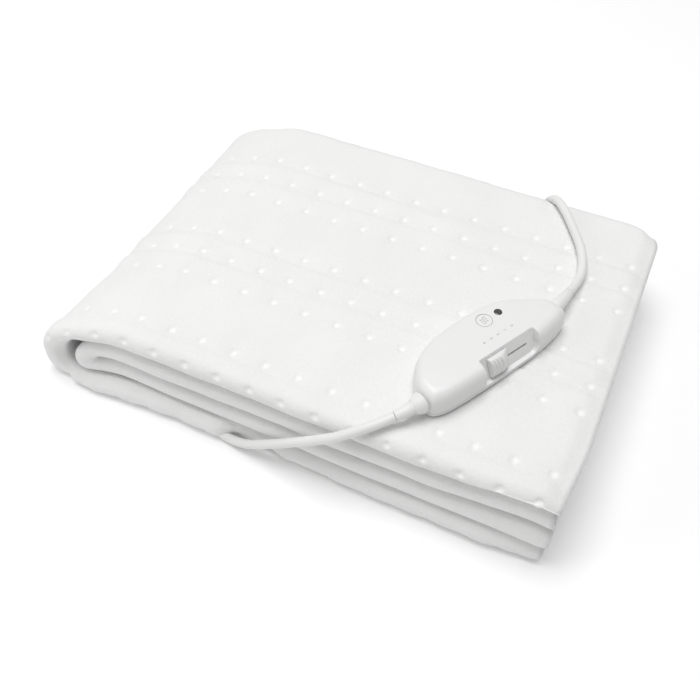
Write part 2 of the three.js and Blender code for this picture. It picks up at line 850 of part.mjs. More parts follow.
function lampWindow() {
  const height = lamp.depth - gap + lamp.proud;
  const disc = new THREE.CylinderGeometry(lamp.radius, lamp.radius, height, lamp.sides);
  return disc.rotateX(Math.PI / 2).translate(lamp.x, lamp.y, controller.height + lamp.proud - height / 2);
}

// The knob's section is drawn with x along the recess and y out of its floor
function switchKnob() {
  const profile = [[knob.start, knob.clearance]];
  for (let rib = 0; rib < knob.ribs; rib++) {
    const from = knob.start + rib * knob.ribPitch;
    const rise = lerp(knob.firstRib, 1, rib / (knob.ribs - 1));
    profile.push([from, knob.groove * rise]);
    profile.push([from + knob.ribPitch * 0.3, knob.crest * rise]);
    profile.push([from + knob.ribPitch * 0.7, knob.crest * rise]);
  }
  const lastGroove = knob.start + knob.ribs * knob.ribPitch;
  const end = knob.start + knob.length;
  profile.push([lastGroove, knob.groove]);
  profile.push([lastGroove + knob.ramp.start, knob.groove + knob.ramp.rise]);
  profile.push([end - knob.ramp.end, knob.shoulder + knob.ramp.fall]);
  profile.push([end, knob.shoulder]);
  profile.push([end, knob.clearance]);
  const block = prism(polygon(profile), knob.high - knob.low).rotateX(Math.PI / 2).translate(0, knob.high, 0);
  const stemFrom = knob.start + knob.stemStart;
  const stem = box(
    [stemFrom, recess.slotHeight - knob.stemWidth / 2, -knob.stemDepth],
    [stemFrom + knob.stemLength, recess.slotHeight + knob.stemWidth / 2, knob.clearance + 1],
  );
  return onRecessFloor(toGeometry(toSolid(block).add(toSolid(stem))));
}

// A boot's rings turn from the shell's heading towards the lead's
function boot({ x, y, z, heading, dip, profile }) {
  const position = new THREE.Vector3(x, y, z);
  const length = profile.at(-1)[0];
  const up = new THREE.Vector3(0, 0, 1);
  let walked = 0;
  const direction = new THREE.Vector3();
  const rings = profile.map(([along, radius]) => {
    aim(direction, heading, dip, (walked + along) / 2 / length);
    position.addScaledVector(direction, along - walked);
    walked = along;
    aim(direction, heading, dip, along / length);
    const side = up.clone().cross(direction).normalize();
    const rise = direction.clone().cross(side);
    return Array.from({ length: bootSides }, (_, i) => {
      const angle = (i * 2 * Math.PI) / bootSides;
      return position.clone()
        .addScaledVector(side, radius * Math.cos(angle))
        .addScaledVector(rise, radius * Math.sin(angle));
    });
  });
  return loft(rings);
}

function aim(direction, heading, dip, share) {
  const across = degToRad(lerp(heading[0], heading[1], share));
  const down = degToRad(lerp(dip[0], dip[1], share));
  direction.set(Math.cos(across) * Math.cos(down), Math.sin(across) * Math.cos(down), -Math.sin(down));
}

// The plug, with x towards its pins
function plugBody() {
  const { bodyLength, bodyWidth, bodyOutline, thickness } = plug;
  const side = bodyOutline.map(([along, across]) => [along * bodyLength, (-across * bodyWidth) / 2]);
  const other = side.map(([x, y]) => [x, -y]).reverse();
  return prism(polygon([...side, ...other]), thickness).translate(0, 0, -thickness / 2);
}

function plugPin() {
  const { pinLength, pinTip, pinTipRadius, pinSides } = plug;
  const pinRadius = plug.pinDiameter / 2;
  const profile = [[0, pinRadius], [pinLength - pinTip, pinRadius], [pinLength, pinTipRadius]];
  return turned(profile, pinSides).rotateY(Math.PI / 2);
}

function plugBoot() {
  const profile = plug.bootProfile.map(([share, radius]) => [share * plug.bootLength, radius]);
  return turned(profile, plug.bootSides).rotateY(Math.PI / 2);
}

// Assembly
function piece(name, geometry, look) {
  const mesh = new THREE.Mesh(geometry, new THREE.MeshStandardMaterial(look));
  mesh.name = name;
  return mesh;
}

function controllerGroup() {
  const group = new THREE.Group();
  group.position.set(controller.x, controller.y, controller.z);
  group.rotation.z = degToRad(controller.turn);
  group.add(piece("controller_base", controllerBase(), finish.shell));
  group.add(piece("controller_cover", controllerCover(), finish.shell));
  group.add(piece("switch_knob", switchKnob(), finish.knob));
  group.add(piece("lamp_window", lampWindow(), finish.lamp));
  group.add(piece("lead_boot", boot(blanketBoot), finish.lead));
  group.add(piece("mains_boot", boot(mainsBoot), finish.lead));
  return group;
}

function hankGroup() {
  const group = new THREE.Group();
  group.position.set(hank.x, hank.y, hank.base);
  group.add(piece("mains_hank", mainsHank(), finish.lead));
  const band = piece("hank_tie", hankTie(), finish.tie);
  band.position.z = (hank.high * lead.diameter) / 2;
  group.add(band);
  return group;
}

function plugGroup() {
  const group = new THREE.Group();
  group.position.set(plug.x, plug.y, plug.z);
  group.add(piece("plug_boot", plugBoot(), finish.lead));
  const body = piece("plug_body", plugBody(), finish.lead);
  body.position.x = plug.bootLength + gap;
  group.add(body);
  for (const [name, side] of [["plug_pin_left", 1], ["plug_pin_right", -1]]) {
    const pin = piece(name, plugPin(), finish.pin);
    pin.position.set(body.position.x + plug.bodyLength + gap, (side * plug.pinSpacing) / 2, 0);
    group.add(pin);
  }
  return group;
}

const model = new THREE.Group();
model.add(piece("underblanket", underblanket(), finish.fleece));
model.add(controllerGroup());
model.add(piece("blanket_lead", tube(blanketRoute.points, leadRadius, blanketRoute.steps), finish.lead));
model.add(piece("mains_lead", tube(mainsRoute.points, leadRadius, mainsRoute.steps), finish.lead));
model.add(hankGroup());
model.add(piece("mains_tail", tube(tailRoute.points, leadRadius, tailRoute.steps), finish.lead));
model.add(plugGroup());

export default model;
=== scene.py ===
# An electric underblanket, folded, with its slide-switch controller on top and its two leads.
# Metres, +Z up. The origin is on the floor, near the middle of the folded stack.
import math
import bpy
import bmesh
import numpy as np
from mathutils import Matrix, Vector


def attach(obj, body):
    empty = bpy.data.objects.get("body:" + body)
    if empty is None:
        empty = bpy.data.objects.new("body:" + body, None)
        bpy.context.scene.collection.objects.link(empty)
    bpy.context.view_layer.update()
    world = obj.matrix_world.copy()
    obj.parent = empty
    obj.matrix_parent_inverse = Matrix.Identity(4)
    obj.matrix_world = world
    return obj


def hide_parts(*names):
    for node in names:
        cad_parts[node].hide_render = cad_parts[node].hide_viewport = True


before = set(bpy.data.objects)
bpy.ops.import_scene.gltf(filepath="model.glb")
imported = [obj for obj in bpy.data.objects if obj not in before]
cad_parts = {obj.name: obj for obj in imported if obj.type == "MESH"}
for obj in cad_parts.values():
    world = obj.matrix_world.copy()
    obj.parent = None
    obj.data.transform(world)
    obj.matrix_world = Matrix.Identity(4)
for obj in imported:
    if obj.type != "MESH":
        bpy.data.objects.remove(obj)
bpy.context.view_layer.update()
print("frame loaded:", sorted(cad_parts))


# Curves, meshes and node trees

def smooth(value, low, high):
    share = np.clip((np.asarray(value, float) - low) / (high - low), 0, 1)
    return share * share * (3 - 2 * share)


def mix(a, b, share):
    return a + (b - a) * share


def spline(points, steps):  # a curve through the points, evenly stepped between its ends
    points = np.array(points, float)
    last = len(points) - 1
    line = []
    for place in np.linspace(0, last, steps + 1):
        i = min(int(place), last - 1)
        t = place - i
        a, b, c, d = (points[min(max(i + k, 0), last)] for k in (-1, 0, 1, 2))
        line.append(0.5 * (2 * b + (c - a) * t + (2 * a - 5 * b + 4 * c - d) * t ** 2
                           + (3 * b - a - 3 * c + d) * t ** 3))
    return np.array(line)


def evenly(line, step):  # the same line with its points about one step apart
    line = np.array(line, float)
    along = np.concatenate([[0], np.cumsum(np.linalg.norm(np.diff(line, axis=0), axis=1))])
    at = np.linspace(0, along[-1], max(2, int(round(along[-1] / step)) + 1))
    return np.stack([np.interp(at, along, line[:, axis]) for axis in range(line.shape[1])], axis=1)


def lengthOf(line):
    return float(np.linalg.norm(np.diff(line, axis=0), axis=1).sum())


def roundAngles(sides):
    return np.linspace(0, 2 * np.pi, sides, endpoint=False)


def ringRound(middle, side, rise, radius, sides):  # points round a middle, in the plane of two directions
    angles = roundAngles(sides)[:, None]
    middle, side, rise = np.array(middle), np.array(side), np.array(rise)
    return middle + radius * (np.cos(angles) * side + np.sin(angles) * rise)


def moved(matrix, points):
    return [matrix @ Vector(point) for point in points]


def aim(piece, direction):
    piece.rotation_mode = "QUATERNION"
    piece.rotation_quaternion = direction.to_track_quat("-Z", "Y")


def addObject(name, data):
    piece = bpy.data.objects.new(name, data)
    bpy.context.scene.collection.objects.link(piece)
    return piece


def meshObject(name, points, faces):
    mesh = bpy.data.meshes.new(name)
    mesh.from_pydata([tuple(map(float, p)) for p in points], [], [tuple(map(int, f)) for f in faces])
    mesh.validate()
    mesh.update()
    return addObject(name, mesh)


def gridFaces(rows, columns, first=0, around=False):  # rows of points, closed round each row if asked
    a = first + np.arange(rows - 1)[:, None] * columns
    i = np.arange(columns if around else columns - 1)[None, :]
    j = (i + 1) % columns
    quads = np.stack([a + i, a + j, a + columns + j, a + columns + i], axis=-1)
    return quads.reshape(-1, 4).tolist()


def loft(name, rings):  # a closed piece through rings of points
    rings = np.array(rings, float)
    count = rings.shape[1]
    faces = gridFaces(len(rings), count, around=True)
    faces.append(list(range(count))[::-1])
    faces.append(list(range((len(rings) - 1) * count, len(rings) * count)))
    return meshObject(name, rings.reshape(-1, 3), faces)


def finishMesh(piece, sharpAngle=35, merge=1e-6):
    # doubles merged, faces outwards, smooth but for sharp edges
    work = bmesh.new()
    work.from_mesh(piece.data)
    if merge:
        bmesh.ops.remove_doubles(work, verts=work.verts, dist=merge)
        bmesh.ops.dissolve_degenerate(work, dist=merge, edges=work.edges)
    bmesh.ops.recalc_face_normals(work, faces=work.faces)
    for face in work.faces:
        face.smooth = True
    for edge in work.edges:
        edge.smooth = len(edge.link_faces) != 2 or edge.calc_face_angle(0) < math.radians(sharpAngle)
    work.to_mesh(piece.data)
    work.free()
    return piece


def applyModifiers(piece):  # the evaluated shape becomes the piece's own plain mesh
    bpy.context.view_layer.update()
    evaluated = piece.evaluated_get(bpy.context.evaluated_depsgraph_get())
    mesh = bpy.data.meshes.new_from_object(evaluated)
    piece.modifiers.clear()
    piece.data = mesh
    return piece


def combined(piece, tool, operation):  # the tool is cut out of the piece, or joined to it
    change = piece.modifiers.new("combined", "BOOLEAN")
    change.operation, change.solver, change.object = operation, "EXACT", tool
    applyModifiers(piece)
    bpy.data.objects.remove(tool)
    return piece


def bevelled(piece, width):
    bevel = piece.modifiers.new("edges", "BEVEL")
    bevel.width, bevel.segments = width, 3
    bevel.limit_method = "ANGLE"
    bevel.angle_limit = math.radians(40)
    return applyModifiers(piece)


class Wire:  # a socket that stands in sums, with numbers or other wires on either side
    def __init__(self, board, socket):
        self.board = board
        self.socket = socket

    def sum(self, operation, *others):
        return self.board.add("ShaderNodeMath", {"operation": operation}, dict(enumerate([self, *others])))

    def __add__(self, other):
        return self.sum("ADD", other)

    __radd__ = __add__

    def __sub__(self, other):
        return self.sum("SUBTRACT", other)

    def __rsub__(self, other):
        return self.board.add("ShaderNodeMath", {"operation": "SUBTRACT"}, {0: other, 1: self})

    def __mul__(self, other):
        return self.sum("MULTIPLY", other)

    __rmul__ = __mul__

    def eased(self, low, high, start=0.0, end=1.0):
        return self.board.add("ShaderNodeMapRange", {"interpolation_type": "SMOOTHSTEP"},
                              {0: self, 1: low, 2: high, 3: start, 4: end})


class Board:  # a node tree, whose nodes all come from add
    def __init__(self, tree):
        self.tree = tree

    def add(self, kind, settings=None, inputs=None, out=0):
        node = self.tree.nodes.new(kind)
        for name, value in (settings or {}).items():
            setattr(node, name, value)
        for name, value in (inputs or {}).items():
            if isinstance(value, Wire):
                self.tree.links.new(value.socket, node.inputs[name])
            else:
                node.inputs[name].default_value = value
        return Wire(self, node.outputs[out]) if node.outputs else node

    def noise(self, where, scale, detail, roughness=0.55):
        return self.add("ShaderNodeTexNoise", {}, {
            "Vector": where, "Scale": scale, "Detail": detail, "Roughness": roughness})

    def blend(self, factor, one, other):
        return self.add("ShaderNodeMix", {"data_type": "RGBA"}, {0: factor, 6: one, 7: other}, out=2)


def newMaterial(name, fixed):  # fixed holds the shader's constant sockets
    material = bpy.data.materials.new(name)
    material.use_nodes = True
    material.node_tree.nodes.clear()
    board = Board(material.node_tree)
    shader = board.add("ShaderNodeBsdfPrincipled", {}, fixed)
    board.add("ShaderNodeOutputMaterial", {}, {"Surface": shader})
    where = board.add("ShaderNodeTexCoord", {}, {}, out=3)
    return material, board, shader.socket.node, where


def feed(board, shader, name, wire):
    board.tree.links.new(wire.socket, shader.inputs[name])


def bump(board, height, distance, strength, under=None):
    links = {"Height": height, "Distance": distance, "Strength": strength}
    if under is not None:
        links["Normal"] = under
    return board.add("ShaderNodeBump", {}, links)


def dress(piece, material):
    piece.data.materials.clear()
    piece.data.materials.append(material)


# Camera
view = {
    "azimuth": 25.35, "down": 50.7, "place": (0.17556, -0.39232, 0.49535), "lens": 41.14, "sensor": 36.0,
    "nearest": 0.01,
}


def makeCamera():
    camera = addObject("camera", bpy.data.cameras.new("camera"))
    camera.data.lens = view["lens"]
    camera.data.sensor_width = view["sensor"]
    camera.data.clip_start = view["nearest"]
    camera.location = view["place"]
    turn, down = math.radians(view["azimuth"]), math.radians(view["down"])
    ahead = Vector((-math.sin(turn) * math.cos(down), math.cos(turn) * math.cos(down), -math.sin(down)))
    aim(camera, ahead)
    bpy.context.scene.camera = camera


makeCamera()
print("camera set")


# Light and floor
studio = {
    "worldStrength": 0.39,
    "top": {"place": (-0.20, 0.05, 2.5), "size": 1.6, "watts": 43.0},
    "left": {"place": (-1.3, -0.9, 0.9), "size": 0.8, "watts": 4.0},
    "aim": (0, 0, 0.03),
    "floorReach": 4.0, "floorTone": 0.97, "floorGlow": 0.04,
}


def addLight(name, facts):
    data = bpy.data.lights.new(name, "AREA")
    data.shape = "SQUARE"
    data.size = facts["size"]
    data.energy = facts["watts"]
    lamp = addObject(name, data)
    lamp.location = facts["place"]
    aim(lamp, Vector(studio["aim"]) - lamp.location)


def makeStudio():
    scene = bpy.context.scene
    scene.view_settings.view_transform = "Standard"
    scene.world = bpy.data.worlds.new("studio")
    scene.world.use_nodes = True
    background = scene.world.node_tree.nodes["Background"]
    background.inputs["Color"].default_value = (1, 1, 1, 1)
    background.inputs["Strength"].default_value = studio["worldStrength"]
    addLight("topLight", studio["top"])
    addLight("leftLight", studio["left"])
    r = studio["floorReach"]
    floor = meshObject("floor", [(-r, -r, 0), (r, -r, 0), (r, r, 0), (-r, r, 0)], [(0, 1, 2, 3)])
    dress(floor, newMaterial("floorPaper", {
        "Base Color": (studio["floorTone"],) * 3 + (1,), "Roughness": 0.9, "Specular IOR Level": 0.1,
        "Emission Color": (1, 1, 1, 1), "Emission Strength": studio["floorGlow"]})[0])


makeStudio()
print("studio set")


# Cords
lead = {"diameter": 0.0068, "sides": 20, "step": 0.0022, "stepsPerPoint": 8}

blanketRoute = [
    (0.0782, -0.1223, 0.0801), (0.0730, -0.1282, 0.0790), (0.0670, -0.1338, 0.0774),
    (0.0606, -0.1384, 0.0749), (0.0540, -0.1418, 0.0710), (0.0469, -0.1437, 0.0656),
    (0.0394, -0.1442, 0.0594), (0.0306, -0.1440, 0.0516), (0.0205, -0.1439, 0.0432),
    (0.0084, -0.1438, 0.0334), (-0.0041, -0.1438, 0.0238), (-0.0144, -0.1438, 0.0164),
    (-0.0224, -0.1436, 0.0111), (-0.0302, -0.1430, 0.0074), (-0.0373, -0.1422, 0.0053),
    (-0.0439, -0.1412, 0.0046), (-0.0504, -0.1396, 0.0049), (-0.0565, -0.1373, 0.0060),
    (-0.0620, -0.1342, 0.0076),
]
mainsRoute = [
    (0.1481, 0.0286, 0.0800), (0.1502, 0.0404, 0.0776), (0.1512, 0.0516, 0.0763),
    (0.1503, 0.0622, 0.0760), (0.1475, 0.0728, 0.0760), (0.1434, 0.0830, 0.0760),
    (0.1382, 0.0928, 0.0760), (0.1318, 0.1030, 0.0760), (0.1256, 0.1128, 0.0761),
    (0.1198, 0.1213, 0.0756), (0.1146, 0.1288, 0.0742), (0.1100, 0.1352, 0.0710),
    (0.1066, 0.1399, 0.0666), (0.1039, 0.1435, 0.0610), (0.1024, 0.1459, 0.0554),
    (0.1012, 0.1475, 0.0487), (0.1000, 0.1485, 0.0415), (0.0976, 0.1490, 0.0342),
    (0.0936, 0.1491, 0.0272), (0.0876, 0.1489, 0.0210), (0.0796, 0.1482, 0.0162),
    (0.0694, 0.1472, 0.0130), (0.0549, 0.1456, 0.0114),
]
tailRoute = [
    (0.0688, 0.1765, 0.0046), (0.0742, 0.1722, 0.0048), (0.0809, 0.1695, 0.0054),
    (0.0880, 0.1687, 0.0064), (0.0923, 0.1686, 0.0069),
]
hank = {
    "x": -0.033, "y": 0.1728, "runLength": 0.134, "turns": 4, "middleRadius": 0.0241,
    "middleHeight": 0.0080, "spread": 0.0034, "waist": 0.017, "lift": 0.0003, "exitAngle": 45,
    "runSteps": 32, "foldSteps": 20, "twistStep": 6,
}


def hankLine():
    # Four turns, two beside and two on each other. Round the right fold the bundle twists a quarter turn,
    # so that each turn goes on in the next one's place: outer and inner on top, then inner and outer below.
    halfRun = hank["runLength"] / 2
    spread = hank["spread"] * math.sqrt(2)
    line = []

    def lay(x, turned, phase, lift=0.0):  # a place on a run, or round the fold at the end x
        drawn = hank["waist"] * (1 + math.cos(math.pi * x / halfRun)) / 2
        radius = hank["middleRadius"] + spread * math.cos(math.radians(phase)) - drawn
        height = hank["middleHeight"] + spread * math.sin(math.radians(phase)) + lift
        line.append((x + math.copysign(radius * math.sin(turned), x), -radius * math.cos(turned), height))

    for index in range(hank["turns"]):
        phase = 45 + 90 * index
        for place in np.linspace(halfRun, -halfRun, hank["runSteps"]):
            lay(place, 0.0, phase)
        for turned in np.radians(np.linspace(0, 180, hank["foldSteps"]))[1:-1]:
            lay(-halfRun, turned, phase)
        for place in np.linspace(-halfRun, halfRun, hank["runSteps"]):
            lay(place, math.pi, phase)
        last = index == hank["turns"] - 1
        step = hank["twistStep"]
        for degrees in np.arange(step, (hank["exitAngle"] if last else 180) - 2, step):
            share = 0.0 if last else float(smooth(degrees, 0, 180))
            lift = hank["lift"] * math.sin(math.pi * share)
            lay(halfRun, math.pi - math.radians(degrees), phase + 90 * share, lift)
    return np.array(line) + (hank["x"], hank["y"], 0)


def leadLine(points):
    return evenly(spline(points, lead["stepsPerPoint"] * (len(points) - 1)), lead["step"])


def leadTube(name, line):  # a round tube along the line
    line = np.array(line)
    ahead = np.gradient(line, axis=0)
    ahead /= np.linalg.norm(ahead, axis=1)[:, None]
    sides = []
    side = np.cross(ahead[0], (0, 0, 1))
    for direction in ahead:
        side = side - direction * np.dot(side, direction)
        side /= np.linalg.norm(side)
        sides.append(side)
    rises = np.cross(sides, ahead)
    rings = [ringRound(*facts, lead["diameter"] / 2, lead["sides"]) for facts in zip(line, sides, rises)]
    return finishMesh(loft(name, rings), sharpAngle=60)


blanketLine = leadLine(blanketRoute)
woundLine = hankLine()
mainsLine = evenly(np.concatenate([
    leadLine(mainsRoute), woundLine, leadLine([woundLine[-1], *tailRoute])[1:]]), lead["step"])
blanketLead = leadTube("blanketLead", blanketLine)
mainsLead = leadTube("mainsLead", mainsLine)
print("leads laid:", round(lengthOf(blanketLine), 3), round(lengthOf(mainsLine), 3))


# The folded cloth. Its section runs back and forth through five layers, and the whole strip of them is
# folded once in half round a turn at the left end.
stack = {
    "height": 0.072, "front": -0.1395, "back": 0.1395, "right": 0.1969, "rightLean": 0.007,
    "endSag": 0.045, "endSagLength": 0.015, "frontWave": 0.0012, "frontFade": 0.045,
    "shortWave": {"x": 0.033, "z": 0.012, "start": 0.6}, "longWave": {"x": 0.071, "z": 0.025},
}
# how the stack has settled unevenly, end by end
leftShoulder = {"x": (-0.177, -0.117), "y": (-0.110, -0.050), "shares": (0.14, 0.208)}
leftCorner = {"x": (-0.172, -0.132), "back": -0.095, "outward": 0.0035, "forward": 0.0058}
rightFront = {
    "x": (0.120, 0.190), "z": (0.030, 0.050), "back": -0.080, "inward": 0.004, "backward": 0.003,
    "liftX": (0.100, 0.192), "liftZ": (0.024, 0.048), "hollowZ": (0.0595, 0.067), "lift": 0.0065,
}
backCorner = {"x": (0.165, 0.197), "y": (0.110, 0.1395), "inward": 0.0055, "forward": 0.0035, "sag": 0.03}
entryDent = {"x": -0.034, "length": 0.022, "z": (0.008, 0.026), "depth": 0.0012}
edgeDip = {"x": 0.1110, "length": (0.002, 0.014), "y": (0.110, 0.132), "share": 0.032}
lowFoldReach = [  # x, and how far the lowest fold reaches forward there
    (-0.178, 0.0), (-0.169, 0.0040), (-0.151, 0.0080), (-0.136, 0.0092), (-0.107, 0.0074), (-0.082, 0.0060),
    (-0.051, 0.0070), (-0.036, 0.0), (-0.010, 0.0), (0.008, 0.0030), (0.025, 0.0029),
    (0.049, 0.0038), (0.123, 0.0034), (0.152, 0.0041), (0.166, 0.0026), (0.179, 0.0010), (0.196, 0.0),
]
# depth of the gap over that fold, and the angle of the left turn past which the cloth is the lower half
lowGap = {"y": (-0.1308, -0.1028), "depth": (0.01775, 0.01368), "ease": 0.0002, "turnedBy": 140}
cloth = {
    "thickness": 0.005, "hemThickness": 0.0026, "hemWidth": 0.009, "rearHemWidth": 0.0045,
    "pitch": 0.00745, "gather": 0.028,
}
layers = [  # depth of each layer's middle below the top, at its front and back ends
    {"front": 0.0025, "back": 0.0025},
    {"front": 0.0150, "back": 0.0098},
    {"front": 0.0205, "back": 0.0184},
    {"front": 0.0329, "back": 0.0246},
    {"front": 0.0329, "back": 0.0330},
]
folds = [
    {"end": "front", "reach": -0.1395},
    {"end": "back", "reach": 0.132},
    {"end": "front", "reach": -0.1395},
    {"end": "back", "reach": 0.139},
]
hem = {"start": 0.1274, "radius": 0.010, "droop": 75, "length": 0.0131}
innerEdge = -0.0935  # where the innermost layer ends
turn = {
    "start": -0.1581, "reach": 0.0290, "sag": 0.0215, "frontSag": 0.0029, "hollow": 0.009, "flatFrom": 20,
}
quilting = {
    "firstRow": 0.0869,  # the others stand so far from it, along the sheet
    "rows": [0.0, 0.0240, 0.0480, 0.0982, 0.1222, 0.1462, 0.1975, 0.2180],
    "channels": [0, 1, 3, 4, 6, 7],  # rows with a wire in the channel that follows them
    "rowPitch": 0.024, "columnPitch": 0.025, "columnJitter": 0.0006,
    "firstColumn": 0.0138,  # from the cut end
    "columns": 34, "topColumns": 14, "endMargin": 0.006,
    "lowRow": 128,  # degrees round the second front fold at which a row lies
    "dotRadius": 0.0036, "dotDepth": 0.0013, "puckerRadius": 0.0105, "puckerDepth": 0.00045,
    "dotFlat": 0.35, "weldFlat": 0.45,  # shares of the dot's radius that are flat, and fully welded
    "wireRise": 0.0008, "riseStart": (0.05, 0.45), "riseEnd": (0.55, 0.98),  # shares of the row pitch
    "grooveDepth": 0.0011, "groovePlace": 0.22, "grooveWidth": 0.0017, "bankPlace": 2.2, "bankShare": 0.35,
    "meander": (0.02, 0.031), "riseShares": (0.75, 0.4), "grooveShares": (0.45, 0.75),
    "undulation": 0.0004, "smallShare": 0.6, "lowHalfLoss": 0.6,
    # crossed waves: their lengths along the stack and across the sheet, and where they start
    "wobble": [(0.041, math.inf, 1.3), (0.093, math.inf, 0.4)],
    "broad": [(0.017, 0.019, 0.7), (-0.035, 0.027, 1.9)],
    "small": [(0.0093, -0.013, 2.4), (0.021, 0.0107, 0.0)],
}
# how finely the sheet is divided: steps near and away from the dots, points round a fold or along a layer
grid = {
    "fine": 0.0013, "coarse": 0.0034, "near": 0.0048, "easing": 0.8, "hemPoints": 9, "layerPoints": 15,
    "frontFoldPoints": 25, "backFoldPoints": 13, "turnPoints": 46, "lowPoints": 110,
    "underStations": 3, "underRows": 2,  # every how many points the inner face keeps one
}


def foldFacts(index):
    end = folds[index]["end"]
    radius = (layers[index + 1][end] - layers[index][end]) / 2
    outward = -1 if end == "front" else 1
    centreY = folds[index]["reach"] - outward * (radius + cloth["thickness"] / 2)
    return {"radius": radius, "y": centreY, "depth": layers[index][end] + radius, "outward": outward}


def layerDepth(index, y, frontEnd, backEnd):
    even = cloth["thickness"] / 2 + index * cloth["pitch"]
    toFront = 1 - smooth(y, frontEnd, frontEnd + cloth["gather"])
    toBack = smooth(y, backEnd - cloth["gather"], backEnd)
    return even + (layers[index]["front"] - even) * toFront + (layers[index]["back"] - even) * toBack


def fineSteps(start, end, marks):  # places from start to end, close together near the marks
    fine, near = grid["fine"], grid["near"]
    places = [start]
    direction = 1 if end > start else -1
    while (end - places[-1]) * direction > 1e-9:
        away = min(abs(places[-1] - mark) for mark in marks)
        step = fine if away < near else min(grid["coarse"], (away - near) * grid["easing"] + fine)
        places.append(places[-1] + direction * step)
    places[-1] = end
    if len(places) > 2 and abs(places[-1] - places[-2]) < fine / 2:
        places.pop(-2)
    return np.array(places)


def sectionLine():
    # points of the section: y, depth and normal on the upper half of the stack, how far each belongs to the
    # inner layers, and y and depth where it lies flat on the lower half
    points = []
    for share in np.linspace(1, 0, grid["hemPoints"])[:-1]:
        angle = math.radians(hem["droop"]) * share
        points.append((hem["start"] + hem["radius"] * math.sin(angle),
                       layers[0]["back"] + hem["radius"] * (1 - math.cos(angle)),
                       math.sin(angle), -math.cos(angle), 0,
                       mix(hem["start"], stack["back"], share), layers[0]["back"]))
    for index in range(len(layers)):
        toFront = index % 2 == 0
        innermost = index == len(folds)
        frontEnd = innerEdge if innermost else foldFacts(index if toFront else index - 1)["y"]
        backEnd = foldFacts(index - 1 if toFront else index)["y"] if index > 0 else hem["start"]
        if index == 0:
            places = fineSteps(backEnd, frontEnd, [quilting["firstRow"] - row for row in quilting["rows"]])
        else:
            start, end = (backEnd, frontEnd) if toFront else (frontEnd, backEnd)
            turns = np.cos(np.linspace(0, np.pi, grid["layerPoints"]))
            places = start + (end - start) * (0.5 - 0.5 * turns)
        gatherFront = stack["front"] if innermost else frontEnd
        for place in places if innermost else places[:-1]:
            depth = float(layerDepth(index, place, gatherFront, backEnd if index else 1.0))
            points.append((place, depth, 0, -1 if toFront else 1, 1 if index > 1 else 0, place, depth))
        if not innermost:
            fold = foldFacts(index)
            side = -fold["outward"]
            for degrees in np.linspace(0, 180, grid[folds[index]["end"] + "FoldPoints"])[:-1]:
                angle = math.radians(degrees)
                across, down = fold["outward"] * math.sin(angle), -math.cos(angle)
                y, depth = fold["y"] + fold["radius"] * across, fold["depth"] + fold["radius"] * down
                points.append((y, depth, side * across, side * down,
                               degrees / 180 if index == 1 else float(index > 1), y, depth))
    names = ("y", "depth", "normalY", "normalDepth", "inner", "flatY", "flatDepth")
    return dict(zip(names, np.array(points, float).T))


def stationLine():  # turn angle and share of the way from the cut end, for each station
    length = stack["right"] - turn["start"]
    columns = quilting["firstColumn"] + quilting["columnPitch"] * np.arange(quilting["topColumns"])
    top = fineSteps(0, length, columns) / length
    angles = np.linspace(0, 180, grid["turnPoints"])[1:]
    low = np.linspace(1, 0, grid["lowPoints"])[1:]
    return (np.concatenate([np.zeros(len(top)), angles, np.full(len(low), 180.0)]),
            np.concatenate([top, np.ones(len(angles)), low]))


def placed(angle, share, y, depth, inner):  # where points of the section lie at their stations
    angle = np.radians(angle)
    half = stack["height"] / 2
    height = 1 - depth / half
    nearFront = 1 - smooth(y, stack["front"], 0)
    sag = turn["sag"] + turn["frontSag"] * nearFront
    bulge = turn["reach"] * np.sin(angle) + sag * (1 - np.cos(angle)) / 2
    bend = turn["start"] + turn["hollow"] * inner - height * bulge
    z = half + height * half * np.cos(angle)
    end = stack["right"] - stack["rightLean"] * (1 - z / stack["height"])
    x = mix(end, bend, share)
    gap = mix(*lowGap["depth"], smooth(y, *lowGap["y"]))
    underGap = 1 - smooth(depth - gap, -lowGap["ease"], lowGap["ease"])
    underGap = underGap * smooth(angle, math.radians(lowGap["turnedBy"]), math.pi)
    return settled(x, y - lowReach(x) * underGap * byFront(y), z)


def lowReach(x):  # eased from one place of the list to the next
    places, reaches = np.array(lowFoldReach).T
    at = np.clip(np.searchsorted(places, x), 1, len(places) - 1)
    return mix(reaches[at - 1], reaches[at], smooth(x, places[at - 1], places[at]))


def byFront(y):
    return 1 - smooth(y, stack["front"], stack["front"] + stack["frontFade"])


